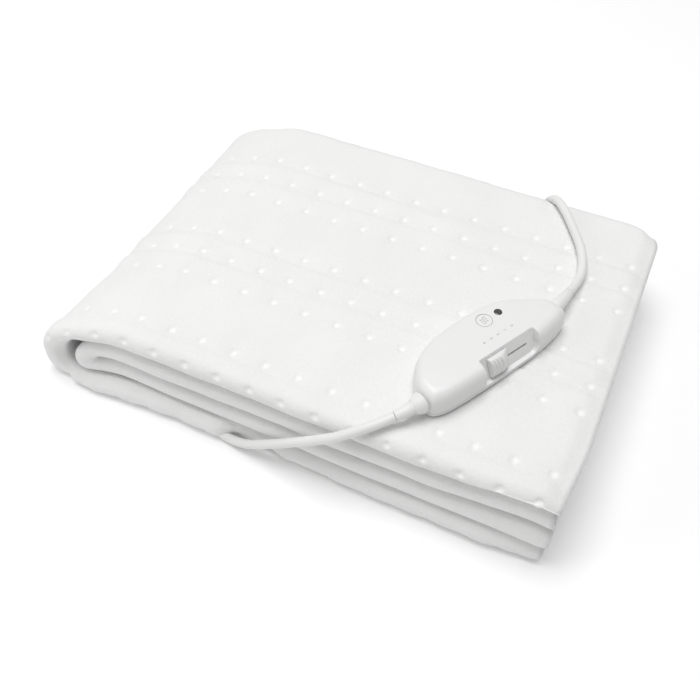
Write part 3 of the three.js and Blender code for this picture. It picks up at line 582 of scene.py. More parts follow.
def settled(x, y, z):  # drawn in, pushed and sunk as the real stack has settled
    nearFront = byFront(y)
    short, long = stack["shortWave"], stack["longWave"]
    ripple = np.sin(x / short["x"] + z / short["z"] + short["start"])
    ripple = ripple * np.cos(x / long["x"] - z / long["z"])
    dent = 1 - smooth(abs(x - entryDent["x"]), 0, entryDent["length"])
    dent = dent * (1 - smooth(z, *entryDent["z"]))
    back = (stack["frontWave"] * (1 + ripple) / 2 + entryDent["depth"] * dent) * nearFront
    nearEnd = smooth(x, stack["right"] - stack["endSagLength"], stack["right"])
    dip = (1 - smooth(abs(x - edgeDip["x"]), *edgeDip["length"])) * smooth(y, *edgeDip["y"])
    sunk = mix(*leftShoulder["shares"], smooth(y, *leftShoulder["y"])) * (1 - smooth(x, *leftShoulder["x"]))
    pushed = (1 - smooth(x, *leftCorner["x"])) * (1 - smooth(y, stack["front"], leftCorner["back"]))
    drawn = smooth(x, *rightFront["x"]) * smooth(z, *rightFront["z"])
    drawn = drawn * (1 - smooth(y, stack["front"], rightFront["back"]))
    raised = smooth(x, *rightFront["liftX"]) * nearFront * smooth(z, *rightFront["liftZ"])
    raised = raised * (1 - smooth(z, *rightFront["hollowZ"]))
    atEnd, atBack = smooth(x, *backCorner["x"]), smooth(y, *backCorner["y"])
    sag = stack["endSag"] * nearEnd + edgeDip["share"] * dip + backCorner["sag"] * atEnd * atBack
    return np.stack([
        x - leftCorner["outward"] * pushed - rightFront["inward"] * drawn
        - backCorner["inward"] * atEnd * atBack ** 2,
        y + back + rightFront["backward"] * drawn - leftCorner["forward"] * pushed
        - backCorner["forward"] * atEnd ** 2 * atBack,
        (z + rightFront["lift"] * raised) * (1 - sag) * (1 - sunk)], axis=-1)


def along(points, axis):  # distance walked along one axis of a grid of points
    steps = np.linalg.norm(np.diff(points, axis=axis), axis=2)
    pad = [(0, 0), (0, 0)]
    pad[axis] = (1, 0)
    return np.cumsum(np.pad(steps, pad), axis=axis)


def sheetGrids():
    section = sectionLine()
    angle, share = stationLine()
    angle, share = angle[:, None], share[:, None]
    flat = smooth(angle, turn["flatFrom"], 180)
    y = mix(section["y"], section["flatY"], flat)
    depth = mix(section["depth"], section["flatDepth"], flat)
    flattened = flat * (section["flatY"] != section["y"])
    normalY = mix(section["normalY"], 0, flattened)
    normalDepth = mix(section["normalDepth"], -1, flattened)
    inner = section["inner"][None, :] + 0 * angle
    middle = placed(angle, share, y, depth, inner)
    walked = along(middle, 0)
    across = along(middle[:1], 1)[0]
    edge = np.minimum(walked, walked[-1:] - walked)
    hemShare = smooth(edge, 0, cloth["hemWidth"]) * smooth(across, 0, cloth["rearHemWidth"])[None, :]
    half = mix(cloth["hemThickness"], cloth["thickness"], hemShare) / 2
    out = half + quiltRelief(walked, across, flat) * hemShare
    outer = placed(angle, share, y + normalY * out, depth + normalDepth * out, inner)
    under = placed(angle, share, y - normalY * half, depth - normalDepth * half, inner)
    return outer, under, walked, across


def rowPlaces():  # how far along the section each row of dots lies, the last one on the second front fold
    top = hem["length"] + hem["start"] - quilting["firstRow"]
    # the second front fold starts after three layers and the two folds between
    start = hem["length"] + hem["start"] - foldFacts(0)["y"] + math.pi * foldFacts(0)["radius"]
    start += 2 * abs(foldFacts(0)["y"] - foldFacts(1)["y"]) + math.pi * foldFacts(1)["radius"]
    low = start + foldFacts(2)["radius"] * math.radians(quilting["lowRow"])
    return [top + row for row in quilting["rows"]] + [low]


def quiltRelief(walked, across, flat):  # soft wrinkles, and the channels with the groove beside each wire
    def crossed(name):
        one, other = (np.sin(walked / down + across / over + start) for down, over, start in quilting[name])
        return one * other

    rows = rowPlaces()
    pitch = quilting["rowPitch"]
    wobble = 0.5 + 0.5 * crossed("wobble")
    relief = quilting["undulation"] * (crossed("broad") + quilting["smallShare"] * crossed("small"))
    sway, swayLength = quilting["meander"]
    for channel in quilting["channels"]:
        t = (across - rows[channel]) / pitch + sway * np.sin(walked / swayLength + channel)
        rise = smooth(t, *quilting["riseStart"]) * (1 - smooth(t, *quilting["riseEnd"]))
        groove = (t - quilting["groovePlace"]) * pitch / quilting["grooveWidth"]
        bank = groove - quilting["bankPlace"]
        dip = quilting["bankShare"] * np.exp(-bank * bank) - np.exp(-groove * groove)
        for height, (least, more) in ((quilting["wireRise"] * rise, quilting["riseShares"]),
                                      (quilting["grooveDepth"] * dip, quilting["grooveShares"])):
            relief = relief + height * (least + more * wobble)
    return (relief - quilting["wireRise"]) * (1 - quilting["lowHalfLoss"] * flat)


def edgeFaces(outerLine, underLine, outerWalk, underWalk):  # joins two lines of points with different steps
    faces = []
    i = j = 0
    while i + 1 < len(outerLine) or j + 1 < len(underLine):
        if j + 1 >= len(underLine) or (i + 1 < len(outerLine) and outerWalk[i + 1] <= underWalk[j + 1]):
            faces.append((outerLine[i], outerLine[i + 1], underLine[j]))
            i += 1
        else:
            faces.append((outerLine[i], underLine[j + 1], underLine[j]))
            j += 1
    return faces


def thinSteps(count, every):
    kept = list(range(0, count - 1, every))
    return np.array(kept + [count - 1])


def makeCloth():
    outer, under, walked, across = sheetGrids()
    stations, rows = outer.shape[:2]
    keptStations, keptRows = thinSteps(stations, grid["underStations"]), thinSteps(rows, grid["underRows"])
    under = under[np.ix_(keptStations, keptRows)]
    points = np.concatenate([outer.reshape(-1, 3), under.reshape(-1, 3)])
    first = stations * rows
    faces = gridFaces(stations, rows)
    faces += [face[::-1] for face in gridFaces(len(keptStations), len(keptRows), first)]
    outerAt = np.arange(first).reshape(stations, rows)
    underAt = np.arange(first, len(points)).reshape(under.shape[:2])
    for end in (0, -1):
        faces += edgeFaces(outerAt[end], underAt[end], np.arange(rows), keptRows)
    for end in (0, -1):
        faces += edgeFaces(outerAt[:, end], underAt[:, end], np.arange(stations), keptStations)
    sheet = meshObject("underblanketSheet", points, faces)
    outside = sheet.data.attributes.new("outside", "FLOAT", "POINT")
    values = np.zeros(len(sheet.data.vertices), np.float32)
    values[:first] = 1
    outside.data.foreach_set("value", values)
    return finishMesh(sheet, sharpAngle=180, merge=0), outer, walked, across


sheet, outerGrid, walkedGrid, acrossLine = makeCloth()
print("cloth folded:", len(sheet.data.polygons), "faces")


def dotPlaces():  # the dots' places on the outer face, read off its own grid
    columns = quilting["firstColumn"] + quilting["columnPitch"] * np.arange(quilting["columns"])
    rng = np.random.default_rng(4)
    dots = []
    for row in rowPlaces():
        j = int(np.searchsorted(acrossLine, row)) - 1
        t = (row - acrossLine[j]) / (acrossLine[j + 1] - acrossLine[j])
        line = mix(outerGrid[:, j], outerGrid[:, j + 1], t)
        walk = mix(walkedGrid[:, j], walkedGrid[:, j + 1], t)
        for column in columns[columns < walk[-1] - quilting["endMargin"]]:
            column = column + rng.uniform(-1, 1) * quilting["columnJitter"]
            dots.append([np.interp(column, walk, line[:, axis]) for axis in range(3)])
    return np.array(dots)


def dotTree():
    tree = bpy.data.node_groups.new("weldDots", "GeometryNodeTree")
    sockets = {}
    for name, kind in (("Sheet", "NodeSocketGeometry"), ("Dots", "NodeSocketObject"),
                       ("Dot radius", "NodeSocketFloat"), ("Dot depth", "NodeSocketFloat"),
                       ("Pucker radius", "NodeSocketFloat"), ("Pucker depth", "NodeSocketFloat"),
                       ("Cloth", "NodeSocketMaterial")):
        sockets[name] = tree.interface.new_socket(name, in_out="INPUT", socket_type=kind).identifier
    tree.interface.new_socket("Sheet", in_out="OUTPUT", socket_type="NodeSocketGeometry")
    board = Board(tree)
    group = board.add("NodeGroupInput").socket.node
    given = {socket.name: Wire(board, socket) for socket in group.outputs if socket.name}
    dots = board.add("GeometryNodeObjectInfo", {"transform_space": "RELATIVE"}, {"Object": given["Dots"]},
                     out="Geometry")
    away = board.add("GeometryNodeProximity", {"target_element": "POINTS"}, {"Geometry": dots},
                     out="Distance")
    outside = board.add("GeometryNodeInputNamedAttribute", {"data_type": "FLOAT"}, {"Name": "outside"})
    dimple = away.eased(given["Dot radius"] * quilting["dotFlat"], given["Dot radius"], 1.0, 0.0)
    pucker = away.eased(0.0, given["Pucker radius"], 1.0, 0.0)
    sink = (dimple * given["Dot depth"] + pucker * given["Pucker depth"]) * outside
    normal = board.add("GeometryNodeInputNormal")
    offset = board.add("ShaderNodeVectorMath", {"operation": "SCALE"}, {0: normal, "Scale": sink * -1.0})
    moved = board.add("GeometryNodeSetPosition", {}, {"Geometry": given["Sheet"], "Offset": offset})
    # the weld mask: full on each welded spot, which is both glossier and painted lighter as a painted
    # highlight
    weld = away.eased(given["Dot radius"] * quilting["weldFlat"], given["Dot radius"], 1.0, 0.0)
    marked = board.add("GeometryNodeStoreNamedAttribute", {"data_type": "FLOAT", "domain": "POINT"}, {
        "Geometry": moved, "Name": "weld", "Value": weld})
    real = board.add("GeometryNodeRealizeInstances", {}, {"Geometry": marked})
    dressed = board.add("GeometryNodeSetMaterial", {}, {"Geometry": real, "Material": given["Cloth"]})
    board.add("NodeGroupOutput", {}, {0: dressed})
    return tree, sockets


# tones of the felt, the lighter tone that paints a highlight on each weld, and the scales of the broad
# mottling, the felt and its fibres
felted = {
    "tones": ((0.80, 0.80, 0.795, 1), (0.85, 0.85, 0.845, 1)), "weldHighlightTone": (0.90, 0.90, 0.895, 1),
    "roughness": 0.95, "weldGloss": 0.45, "broad": 22.0, "felt": 520.0, "fibre": 2600.0,
    "feltDepth": 0.0006, "fibreDepth": 0.0002,
}


def fleeceMaterial():
    material, board, shader, where = newMaterial("whiteFleece", {
        "Specular IOR Level": 0.25, "Sheen Weight": 0.15, "Sheen Roughness": 0.5})
    weld = board.add("ShaderNodeAttribute", {"attribute_name": "weld"}, {}, out="Fac")
    broad = board.noise(where, felted["broad"], 2.0)
    felt = board.noise(where, felted["felt"], 4.0, 0.6)
    fibre = board.noise(where, felted["fibre"], 3.0, 0.6)
    tone = (broad - 0.5) * 0.5 + (felt - 0.5) * 0.6 + 0.5
    colour = board.blend(tone.eased(0.2, 0.8), *felted["tones"])
    # painted highlight: the welds are painted a lighter tone; the lower roughness below is their real gloss
    colour = board.blend(weld, colour, felted["weldHighlightTone"])
    feed(board, shader, "Base Color", colour)
    feed(board, shader, "Roughness", felted["roughness"] - weld * felted["weldGloss"])
    soft = bump(board, felt, felted["feltDepth"], 0.55)
    feed(board, shader, "Normal", bump(board, fibre, felted["fibreDepth"], 0.5, soft))
    return material


def weldDots():
    dots = meshObject("dotPlaces", dotPlaces(), [])
    tree, sockets = dotTree()
    fleece = fleeceMaterial()
    modifier = sheet.modifiers.new("weldDots", "NODES")
    modifier.node_group = tree
    values = {
        "Dots": dots, "Dot radius": quilting["dotRadius"], "Dot depth": quilting["dotDepth"],
        "Pucker radius": quilting["puckerRadius"], "Pucker depth": quilting["puckerDepth"], "Cloth": fleece,
    }
    for name, value in values.items():
        modifier[sockets[name]] = value
    applyModifiers(sheet)
    dress(sheet, fleece)
    bpy.data.objects.remove(dots)


weldDots()
print("cloth quilted:", len(sheet.data.polygons), "faces")


# The controller, in its own frame: x along it, y to its rounded side, z up
controller = {
    "place": (0.11967, -0.05104, 0.0723), "turn": 62.36, "height": 0.0206, "parting": 0.0042, "gap": 0.0003,
    "middleY": 0.012, "halfLength": 0.062, "halfWidth": 0.024,
    "right": [(-0.062, -0.007), (-0.050, -0.0113), (-0.020, -0.0125), (0.025, -0.012), (0.050, -0.009),
              (0.064, -0.0045)],
    "left": [(0.0614, 0.0118), (0.049, 0.0205), (0.039, 0.0286), (0.028, 0.0336), (0.010, 0.0353),
             (-0.010, 0.0353), (-0.028, 0.0332), (-0.038, 0.030), (-0.047, 0.0254), (-0.054, 0.0182),
             (-0.062, 0.0082)],
    # how far the wall is drawn in at each height
    "wall": [(0.0016, 0.0), (0.0003, 0.0012), (0.0, 0.0042), (0.0, 0.009), (0.0008, 0.0145),
             (0.0023, 0.0178), (0.0046, 0.0198), (0.0074, 0.0206)],
    # steps of the splines, and the distance between points of each stretch
    "rightSteps": (60, 0.0006), "leftSteps": (110, 0.0013), "endStep": 0.0011, "wallSteps": (140, 0.00055),
    "softening": 26, "softEnds": (0.052, 0.058),
    # insets of the rings that close the underside and the parting, and of those on the crowned top
    "closing": (0.005, 0.014, 0.0239), "rimInsets": (0.0079, 0.0125, 0.0005),
    "middleInsets": (0.0135, 0.0239, 8), "crown": 0.00025, "crownInsets": (0.007, 0.016),
}
recess = {
    "start": -0.018, "end": 0.0315, "endRadius": 0.007, "edge": 0.0011,
    "footY": -0.0094, "footZ": 0.0034, "lean": 23.5,
    "slotStart": -0.0066, "slotEnd": 0.024, "slotUp": 0.0092, "slotWidth": 0.0019, "slotDepth": 0.0036,
    "slotCut": 0.001,  # how far out the cutting tools reach
}
toController = Matrix.Translation(controller["place"]) @ Matrix.Rotation(
    math.radians(controller["turn"]), 4, "Z")
toRecess = toController @ Matrix.Translation((0, recess["footY"], recess["footZ"])) @ Matrix.Rotation(
    math.radians(90 - recess["lean"]), 4, "X")


def outlineRing():  # anticlockwise, closely stepped along the recess
    (rightCount, rightStep), (leftCount, leftStep) = controller["rightSteps"], controller["leftSteps"]
    right = evenly(spline(controller["right"], rightCount), rightStep)
    rear = evenly([controller["right"][-1], controller["left"][0]], controller["endStep"])
    left = evenly(spline(controller["left"], leftCount), leftStep)
    front = evenly([controller["left"][-1], controller["right"][0]], controller["endStep"])
    return np.concatenate([right[:-1], rear[:-1], left[:-1], front[:-1]])


def roundedCorners(ring):  # the outline's two ends are softened a little
    for _ in range(controller["softening"]):
        near = (np.roll(ring, 1, axis=0) + np.roll(ring, -1, axis=0)) / 2
        share = smooth(np.abs(ring[:, 0]), *controller["softEnds"])[:, None] / 2
        ring = ring + (near - ring) * share
    return ring


def wallRings(low, high):  # inset and height of each ring between two heights
    count, step = controller["wallSteps"]
    profile = evenly(spline(controller["wall"], count), step)
    kept = profile[(profile[:, 1] > low + 1e-5) & (profile[:, 1] < high - 1e-5)]
    at = [np.interp(height, profile[:, 1], profile[:, 0]) for height in (low, high)]
    return [(at[0], low), *map(tuple, kept), (at[1], high)]


def shellRing(outline, inset, height):
    narrow = 1 - inset / controller["halfWidth"]
    shorten = 1 - inset / controller["halfLength"]
    y = controller["middleY"] + (outline[:, 1] - controller["middleY"]) * narrow
    return np.stack([outline[:, 0] * shorten, y, np.full(len(outline), height)], axis=1)


def withRecess(points):  # points over the recess are pressed down onto its floor
    lean = math.radians(90 - recess["lean"])
    up = np.array([0, math.cos(lean), math.sin(lean)])
    out = np.array([0, -math.sin(lean), math.cos(lean)])
    local = points - (0, recess["footY"], recess["footZ"])
    x, v, w = points[:, 0], local @ up, local @ out
    inX = np.minimum(x - recess["start"], recess["end"] - x)
    r = recess["endRadius"]
    cornerX, cornerV = np.maximum(x - (recess["end"] - r), 0), np.maximum(r - v, 0)
    inside = np.where((cornerX > 0) & (cornerV > 0), r - np.hypot(cornerX, cornerV), np.minimum(inX, v))
    share = smooth(inside, 0.0, recess["edge"])
    return points - out * (np.maximum(w, 0) * share)[:, None]


def shellPiece(name, low, high, closeTop):
    outline = roundedCorners(outlineRing())
    rings = [shellRing(outline, inset, low) for inset in controller["closing"][::-1]]
    rings += [shellRing(outline, inset, height) for inset, height in wallRings(low, high)]
    if closeTop:  # the top closes in to a line along its middle
        insets = [np.arange(*controller["rimInsets"]), np.linspace(*controller["middleInsets"])]
        for inset in np.concatenate(insets):
            rise = controller["crown"] * float(smooth(inset, *controller["crownInsets"]))
            rings.append(shellRing(outline, inset, high + rise))
    else:
        rings += [shellRing(outline, inset, high) for inset in controller["closing"]]
    return loft(name, [withRecess(ring) for ring in rings])


def slotTool():
    half, up = recess["slotWidth"] / 2, recess["slotUp"]
    ring = []
    for x, side in ((recess["slotEnd"] - half, half), (recess["slotStart"] + half, -half)):
        for angle in np.radians(np.linspace(-90, 90, 9)):
            ring.append((x + side * math.cos(angle), up + side * math.sin(angle)))
    depths = (-recess["slotDepth"], recess["slotCut"])
    return finishMesh(loft("slotTool", [moved(toRecess, [(*point, z) for point in ring]) for z in depths]))


# The pilot lamp: a domed window in its pocket, with the shares of its radius and the heights of its dome
lampFacts = {
    "place": (0.0218, 0.0214), "radius": 0.0026, "rim": 0.00035, "depth": 0.0016,
    "sides": 40, "pocketSides": 48,
    "dome": [(1.0, -0.0001), (0.97, 0.00008), (0.88, 0.00018), (0.6, 0.00028), (0.25, 0.0003)],
}


def lampPiece(name, steps, sides):  # round about the lamp's middle, through radii and heights
    place = lampFacts["place"]
    rings = [ringRound((*place, z), (1, 0, 0), (0, 1, 0), radius, sides) for radius, z in steps]
    return finishMesh(loft(name, [moved(toController, ring) for ring in rings]))


def makeController():
    cover = shellPiece("controllerCover", controller["parting"], controller["height"], True)
    base = shellPiece("controllerBase", 0.0, controller["parting"] - controller["gap"], False)
    for piece in (cover, base):
        finishMesh(piece, merge=3e-5).data.transform(toController)
        combined(piece, slotTool(), "DIFFERENCE")
    radius = lampFacts["radius"] + lampFacts["rim"]
    over = controller["height"] + controller["crown"] + recess["slotCut"]
    pocket = [(radius, controller["height"] - lampFacts["depth"]), (radius, over)]
    combined(cover, lampPiece("lampTool", pocket, lampFacts["pocketSides"]), "DIFFERENCE")
    for piece in (cover, base):
        finishMesh(piece, sharpAngle=38)
    return cover, base


def makeLamp():
    height, radius = controller["height"], lampFacts["radius"]
    steps = [(radius, height - lampFacts["depth"] + controller["gap"])]
    steps += [(radius * share, height + rise) for share, rise in lampFacts["dome"]]
    return lampPiece("lampWindow", steps, lampFacts["sides"])


# The slide knob, on the recess floor: x along it, y up the slope, z out of it
knob = {
    "start": -0.0114, "length": 0.0164, "low": 0.0030, "high": 0.0164, "clearance": 0.00035,
    "points": (84, 34),  # along it and up it
    "ribs": 4, "ribPitch": 0.0027, "crest": 0.0064, "groove": 0.0050, "firstRib": 0.84, "fullness": 0.7,
    "bow": 0.0016, "bowMiddle": 0.3, "ribEase": 0.0006, "ribFade": (-0.0002, 0.0004), "shoulder": 0.0024,
    "arch": 0.0022, "archPower": 2.6, "rim": 0.0009, "rimHeight": 0.72,
    "stemStart": 0.0068, "stemLength": 0.0032, "stemWidth": 0.0012, "stemDepth": 0.0028, "stemTop": 0.00135,
    "stemBevel": 0.0002,
}


def knobHeights(x, t):  # t runs from -1 to 1 up the slope
    ribZone = knob["ribs"] * knob["ribPitch"]
    fadeStart, fadeEnd = (ribZone + place for place in knob["ribFade"])
    shifted = x + knob["bow"] * (t * t - knob["bowMiddle"])  # the ribs bow towards the rear
    ripple = (0.5 + 0.5 * np.cos(2 * np.pi * (shifted / knob["ribPitch"] - 0.5))) ** knob["fullness"]
    ripple = ripple * smooth(shifted, 0.0, knob["ribEase"]) * (1 - smooth(shifted, fadeStart, fadeEnd))
    body = mix(knob["groove"], knob["shoulder"], smooth(x, fadeEnd, knob["length"]))
    rise = mix(knob["firstRib"], 1.0, np.clip(x / ribZone, 0, 1))
    z = (body + (knob["crest"] - knob["groove"]) * ripple) * rise
    z = z - knob["arch"] * np.abs(t) ** knob["archPower"] * np.minimum(z / knob["crest"], 1)
    edge = np.minimum(np.minimum(x, knob["length"] - x), (1 - np.abs(t)) * (knob["high"] - knob["low"]) / 2)
    return z * mix(knob["rimHeight"], 1.0, np.sqrt(np.clip(edge / knob["rim"], 0, 1)))


def knobStem():  # the tongue that runs in the slot
    half = knob["stemWidth"] / 2
    start = knob["start"] + knob["stemStart"]
    ranges = ((start, start + knob["stemLength"]), (recess["slotUp"] - half, recess["slotUp"] + half),
              (-knob["stemDepth"], knob["stemTop"]))
    corners = moved(toRecess, [(ranges[0][i], ranges[1][j], ranges[2][k])
                               for k in (0, 1) for i, j in ((0, 0), (1, 0), (1, 1), (0, 1))])
    faces = [(0, 3, 2, 1), (4, 5, 6, 7), (0, 1, 5, 4), (1, 2, 6, 5), (2, 3, 7, 6), (3, 0, 4, 7)]
    return bevelled(meshObject("switchStem", corners, faces), knob["stemBevel"])


def makeKnob():
    rows, columns = knob["points"]
    x = np.linspace(0, 1, rows)[:, None] * knob["length"] + np.zeros(columns)
    t = np.linspace(-1, 1, columns) + 0 * x
    y = mix(knob["low"], knob["high"], (t + 1) / 2)
    top = np.stack([x + knob["start"], y, knobHeights(x, t)], axis=-1).reshape(-1, 3)
    low = top.copy()
    low[:, 2] = knob["clearance"]
    count = len(top)
    faces = gridFaces(rows, columns)
    faces += [[i + count for i in face[::-1]] for face in faces]
    at = np.arange(count).reshape(rows, columns)
    rim = [*at[0], *at[1:, -1], *at[-1, -2::-1], *at[-2:0:-1, 0]]
    faces += [(a, b, b + count, a + count) for a, b in zip(rim, rim[1:] + rim[:1])]
    piece = finishMesh(meshObject("switchKnob", np.concatenate([top, low]), faces), sharpAngle=50)
    piece.data.transform(toRecess)
    return finishMesh(combined(piece, knobStem(), "UNION"), sharpAngle=50)


controllerCover, controllerBase = makeController()
lampWindow = makeLamp()
switchKnob = makeKnob()
print("controller made:", len(controllerCover.data.polygons), "faces")


# The boots that hold the leads: where they leave the shell, their heading and dip at both ends, in degrees,
# and distance and radius along them
boots = {
    "leadBoot": {
        "place": (-0.0623, 0.0006, 0.0102), "heading": (180, 164), "dip": (0, 11),
        "profile": [(0, 0.0070), (0.0004, 0.0074), (0.0021, 0.0073), (0.0026, 0.0070), (0.0040, 0.0066),
                    (0.0055, 0.0060), (0.0066, 0.0052), (0.0074, 0.0047), (0.0076, 0.0043), (0.0082, 0.0043),
                    (0.0085, 0.0045), (0.012, 0.0042), (0.016, 0.0039), (0.0192, 0.0037), (0.020, 0.00345)],
    },
    "mainsBoot": {
        "place": (0.06265, 0.00625, 0.0102), "heading": (9.1, 19), "dip": (0, 12),
        "profile": [(0, 0.0050), (0.0004, 0.0053), (0.003, 0.0051), (0.006, 0.0048), (0.010, 0.0045),
                    (0.015, 0.0041), (0.0205, 0.0038), (0.0214, 0.00345)],
    },
}
bootSides = 40


def bootAim(facts, share):
    across = math.radians(mix(*facts["heading"], share))
    down = math.radians(mix(*facts["dip"], share))
    return np.array([math.cos(across) * math.cos(down), math.sin(across) * math.cos(down), -math.sin(down)])


def makeBoot(name):
    facts = boots[name]
    length, place, walked = facts["profile"][-1][0], np.array(facts["place"]), 0
    rings = []
    for reached, radius in facts["profile"]:
        place = place + bootAim(facts, (walked + reached) / 2 / length) * (reached - walked)
        walked = reached
        ahead = bootAim(facts, reached / length)
        side = np.cross((0, 0, 1), ahead)
        side /= np.linalg.norm(side)
        rise = np.cross(ahead, side)
        rings.append(moved(toController, ringRound(place, side, rise, radius, bootSides)))
    return finishMesh(loft(name, rings), sharpAngle=48)


leadBoot, mainsBoot = makeBoot("leadBoot"), makeBoot("mainsBoot")


# Printed marks: the switch's levels beside the recess, and a plain heat mark of three waves in a ring
marks = {
    "levels": ["4", "3", "2", "1", "0"], "start": (-0.0045, 0.0070), "end": (0.0204, 0.0070), "size": 0.0032,
    "turn": -90, "thick": 0.00004, "lift": 0.00026, "lineWidth": 0.00045, "lineFlatness": 0.15,
    "ring": (0.0090, 0.0214), "ringRadius": 0.0056, "ringPoints": 60,
    "waves": (-0.0019, 0.0, 0.0019), "waveSway": 0.00055, "waveReach": 0.0026, "wavePoints": 25,
}


def levelText(level):
    text = bpy.data.curves.new("level", "FONT")
    text.body = level
    text.size = marks["size"]
    text.align_x, text.align_y = "CENTER", "CENTER"
    text.extrude = marks["thick"]
    return text


def markLine(points):
    curve = bpy.data.curves.new("markLine", "CURVE")
    curve.dimensions = "3D"
    part = curve.splines.new("POLY")
    part.points.add(len(points) - 1)
    for point, (x, y) in zip(part.points, points):
        point.co = (x, y, 0, 1)
    curve.bevel_depth = marks["lineWidth"] / 2
    curve.bevel_resolution = 2
    return curve


def makeMarks():
    work = bmesh.new()
    turned = Matrix.Rotation(math.radians(marks["turn"]), 4, "Z")

    def stamp(data, place, flatness=1.0):  # a text or curve is made a thin mesh on the cover
        piece = addObject(data.name, data)
        bpy.context.view_layer.update()
        mesh = bpy.data.meshes.new_from_object(piece.evaluated_get(bpy.context.evaluated_depsgraph_get()))
        bpy.data.objects.remove(piece)
        there = Matrix.Translation((*place, controller["height"] + marks["lift"]))
        mesh.transform(toController @ there @ turned @ Matrix.Diagonal((1, 1, flatness, 1)))
        work.from_mesh(mesh)

    for index, level in enumerate(marks["levels"]):
        share = index / (len(marks["levels"]) - 1)
        stamp(levelText(level), mix(np.array(marks["start"]), np.array(marks["end"]), share))
    radius, reach = marks["ringRadius"], marks["waveReach"]
    angles = np.linspace(0, 2 * math.pi, marks["ringPoints"])
    lines = [np.stack([radius * np.cos(angles), radius * np.sin(angles)], axis=1)]
    angles = np.linspace(0, 2 * math.pi, marks["wavePoints"])
    rises = np.linspace(-reach, reach, marks["wavePoints"])
    sways = marks["waveSway"] * np.sin(angles)
    lines += [np.stack([shift + sways, rises], axis=1) for shift in marks["waves"]]
    for line in lines:
        stamp(markLine(line), marks["ring"], marks["lineFlatness"])
    mesh = bpy.data.meshes.new("printedMarks")
    work.to_mesh(mesh)
    work.free()
    return finishMesh(addObject("printedMarks", mesh), merge=1e-7)


printedMarks = makeMarks()
print("marks printed")


# Tie and plug, behind the stack. The tie's section bulges a little between its edges.
tie = {
    "halfWidth": 0.0144, "halfHeight": 0.0071, "corner": 0.002, "cornerPoints": 7,
    "section": [(-0.004, 0), (0.004, 0), (0.004, 0.0006), (0.0032, 0.00072), (-0.0032, 0.00072),
                (-0.004, 0.0006)],
}
plug = {
    "place": (0.0923, 0.1686, 0.007), "gap": 0.0003, "bootLength": 0.028, "bootSides": 32,
    "bootStart": [(0.0, 0.0035), (0.001, 0.0042)], "bootEnd": [(0.027, 0.0062), (0.028, 0.0060)],
    "ribs": 7, "ribStart": 0.002, "ribPitch": 0.0034, "ribRadii": (0.0042, 0.0060),
    "rib": [(0.0, 0.0), (0.0021, 0.0003), (0.0022, -0.0007), (0.0033, -0.0007)],
    # distance from the boot and half the width
    "outline": [(0, 0.0075), (0.00432, 0.00825), (0.0126, 0.01365), (0.0216, 0.0175), (0.036, 0.0175)],
    "outlineSteps": 24, "bodySides": 56, "squareness": (0.55, 0.45), "thickness": 0.014, "thinEnd": 0.9,
    "fullFrom": 0.018, "bevel": 0.0006, "bodyLength": 0.036,
    "pin": [(0, 0.002), (0.00855, 0.002), (0.00874, 0.00188), (0.0174, 0.00188), (0.0184, 0.0014),
            (0.019, 0.0008)],
    "pinSpacing": 0.0186, "pinSides": 24,
}


def makeTie():
    line = []
    corner = tie["corner"]
    for index, (sideY, sideZ) in enumerate(((1, 1), (-1, 1), (-1, -1), (1, -1))):
        for angle in np.radians(np.linspace(index * 90, index * 90 + 90, tie["cornerPoints"])):
            line.append((sideY * (tie["halfWidth"] - corner) + corner * math.cos(angle),
                         sideZ * (tie["halfHeight"] - corner) + corner * math.sin(angle)))
    line = np.array(line)
    centre = np.array([hank["x"], hank["y"], hank["middleHeight"]])
    out = line / np.linalg.norm(line, axis=1)[:, None]
    rings = np.array([[centre + (x, *(point + direction * grow)) for x, grow in tie["section"]]
                      for point, direction in zip(line, out)])
    count = len(tie["section"])
    faces = gridFaces(len(rings), count, around=True)
    last = (len(rings) - 1) * count
    faces += [(last + i, last + (i + 1) % count, (i + 1) % count, i) for i in range(count)]
    return finishMesh(meshObject("hankTie", rings.reshape(-1, 3), faces), sharpAngle=50)


def turnedPiece(name, profile, place, sides):  # round about +X through distances and radii
    start, y, z = place
    rings = [ringRound((start + x, y, z), (0, 1, 0), (0, 0, 1), radius, sides) for x, radius in profile]
    return finishMesh(loft(name, rings), sharpAngle=50)


def plugBody(startX, y, z):
    powerY, powerZ = plug["squareness"]
    rings = []
    for along, half in spline(plug["outline"], plug["outlineSteps"]):
        thick = plug["thickness"] / 2 * mix(plug["thinEnd"], 1.0, float(smooth(along, 0, plug["fullFrom"])))
        rings.append([(startX + along, y + half * math.copysign(abs(math.cos(a)) ** powerY, math.cos(a)),
                       z + thick * math.copysign(abs(math.sin(a)) ** powerZ, math.sin(a)))
                      for a in roundAngles(plug["bodySides"])])
    return finishMesh(bevelled(finishMesh(loft("plugBody", rings)), plug["bevel"]))


def makePlug():
    x, y, z = plug["place"]
    ribs = list(plug["bootStart"])
    for index in range(plug["ribs"]):
        start = plug["ribStart"] + index * plug["ribPitch"]
        radius = mix(*plug["ribRadii"], index / (plug["ribs"] - 1))
        ribs += [(start + further, radius + higher) for further, higher in plug["rib"]]
    boot = turnedPiece("plugBoot", ribs + plug["bootEnd"], (x, y, z), plug["bootSides"])
    startX = x + plug["bootLength"] + plug["gap"]
    body = plugBody(startX, y, z)
    pinX = startX + plug["bodyLength"] + plug["gap"]
    pins = [turnedPiece(name, plug["pin"], (pinX, y + side * plug["pinSpacing"] / 2, z), plug["pinSides"])
            for name, side in (("plugPinLeft", 1), ("plugPinRight", -1))]
    return [boot, body, *pins]


hankTie = makeTie()
plugPieces = makePlug()
print("tie and plug made")


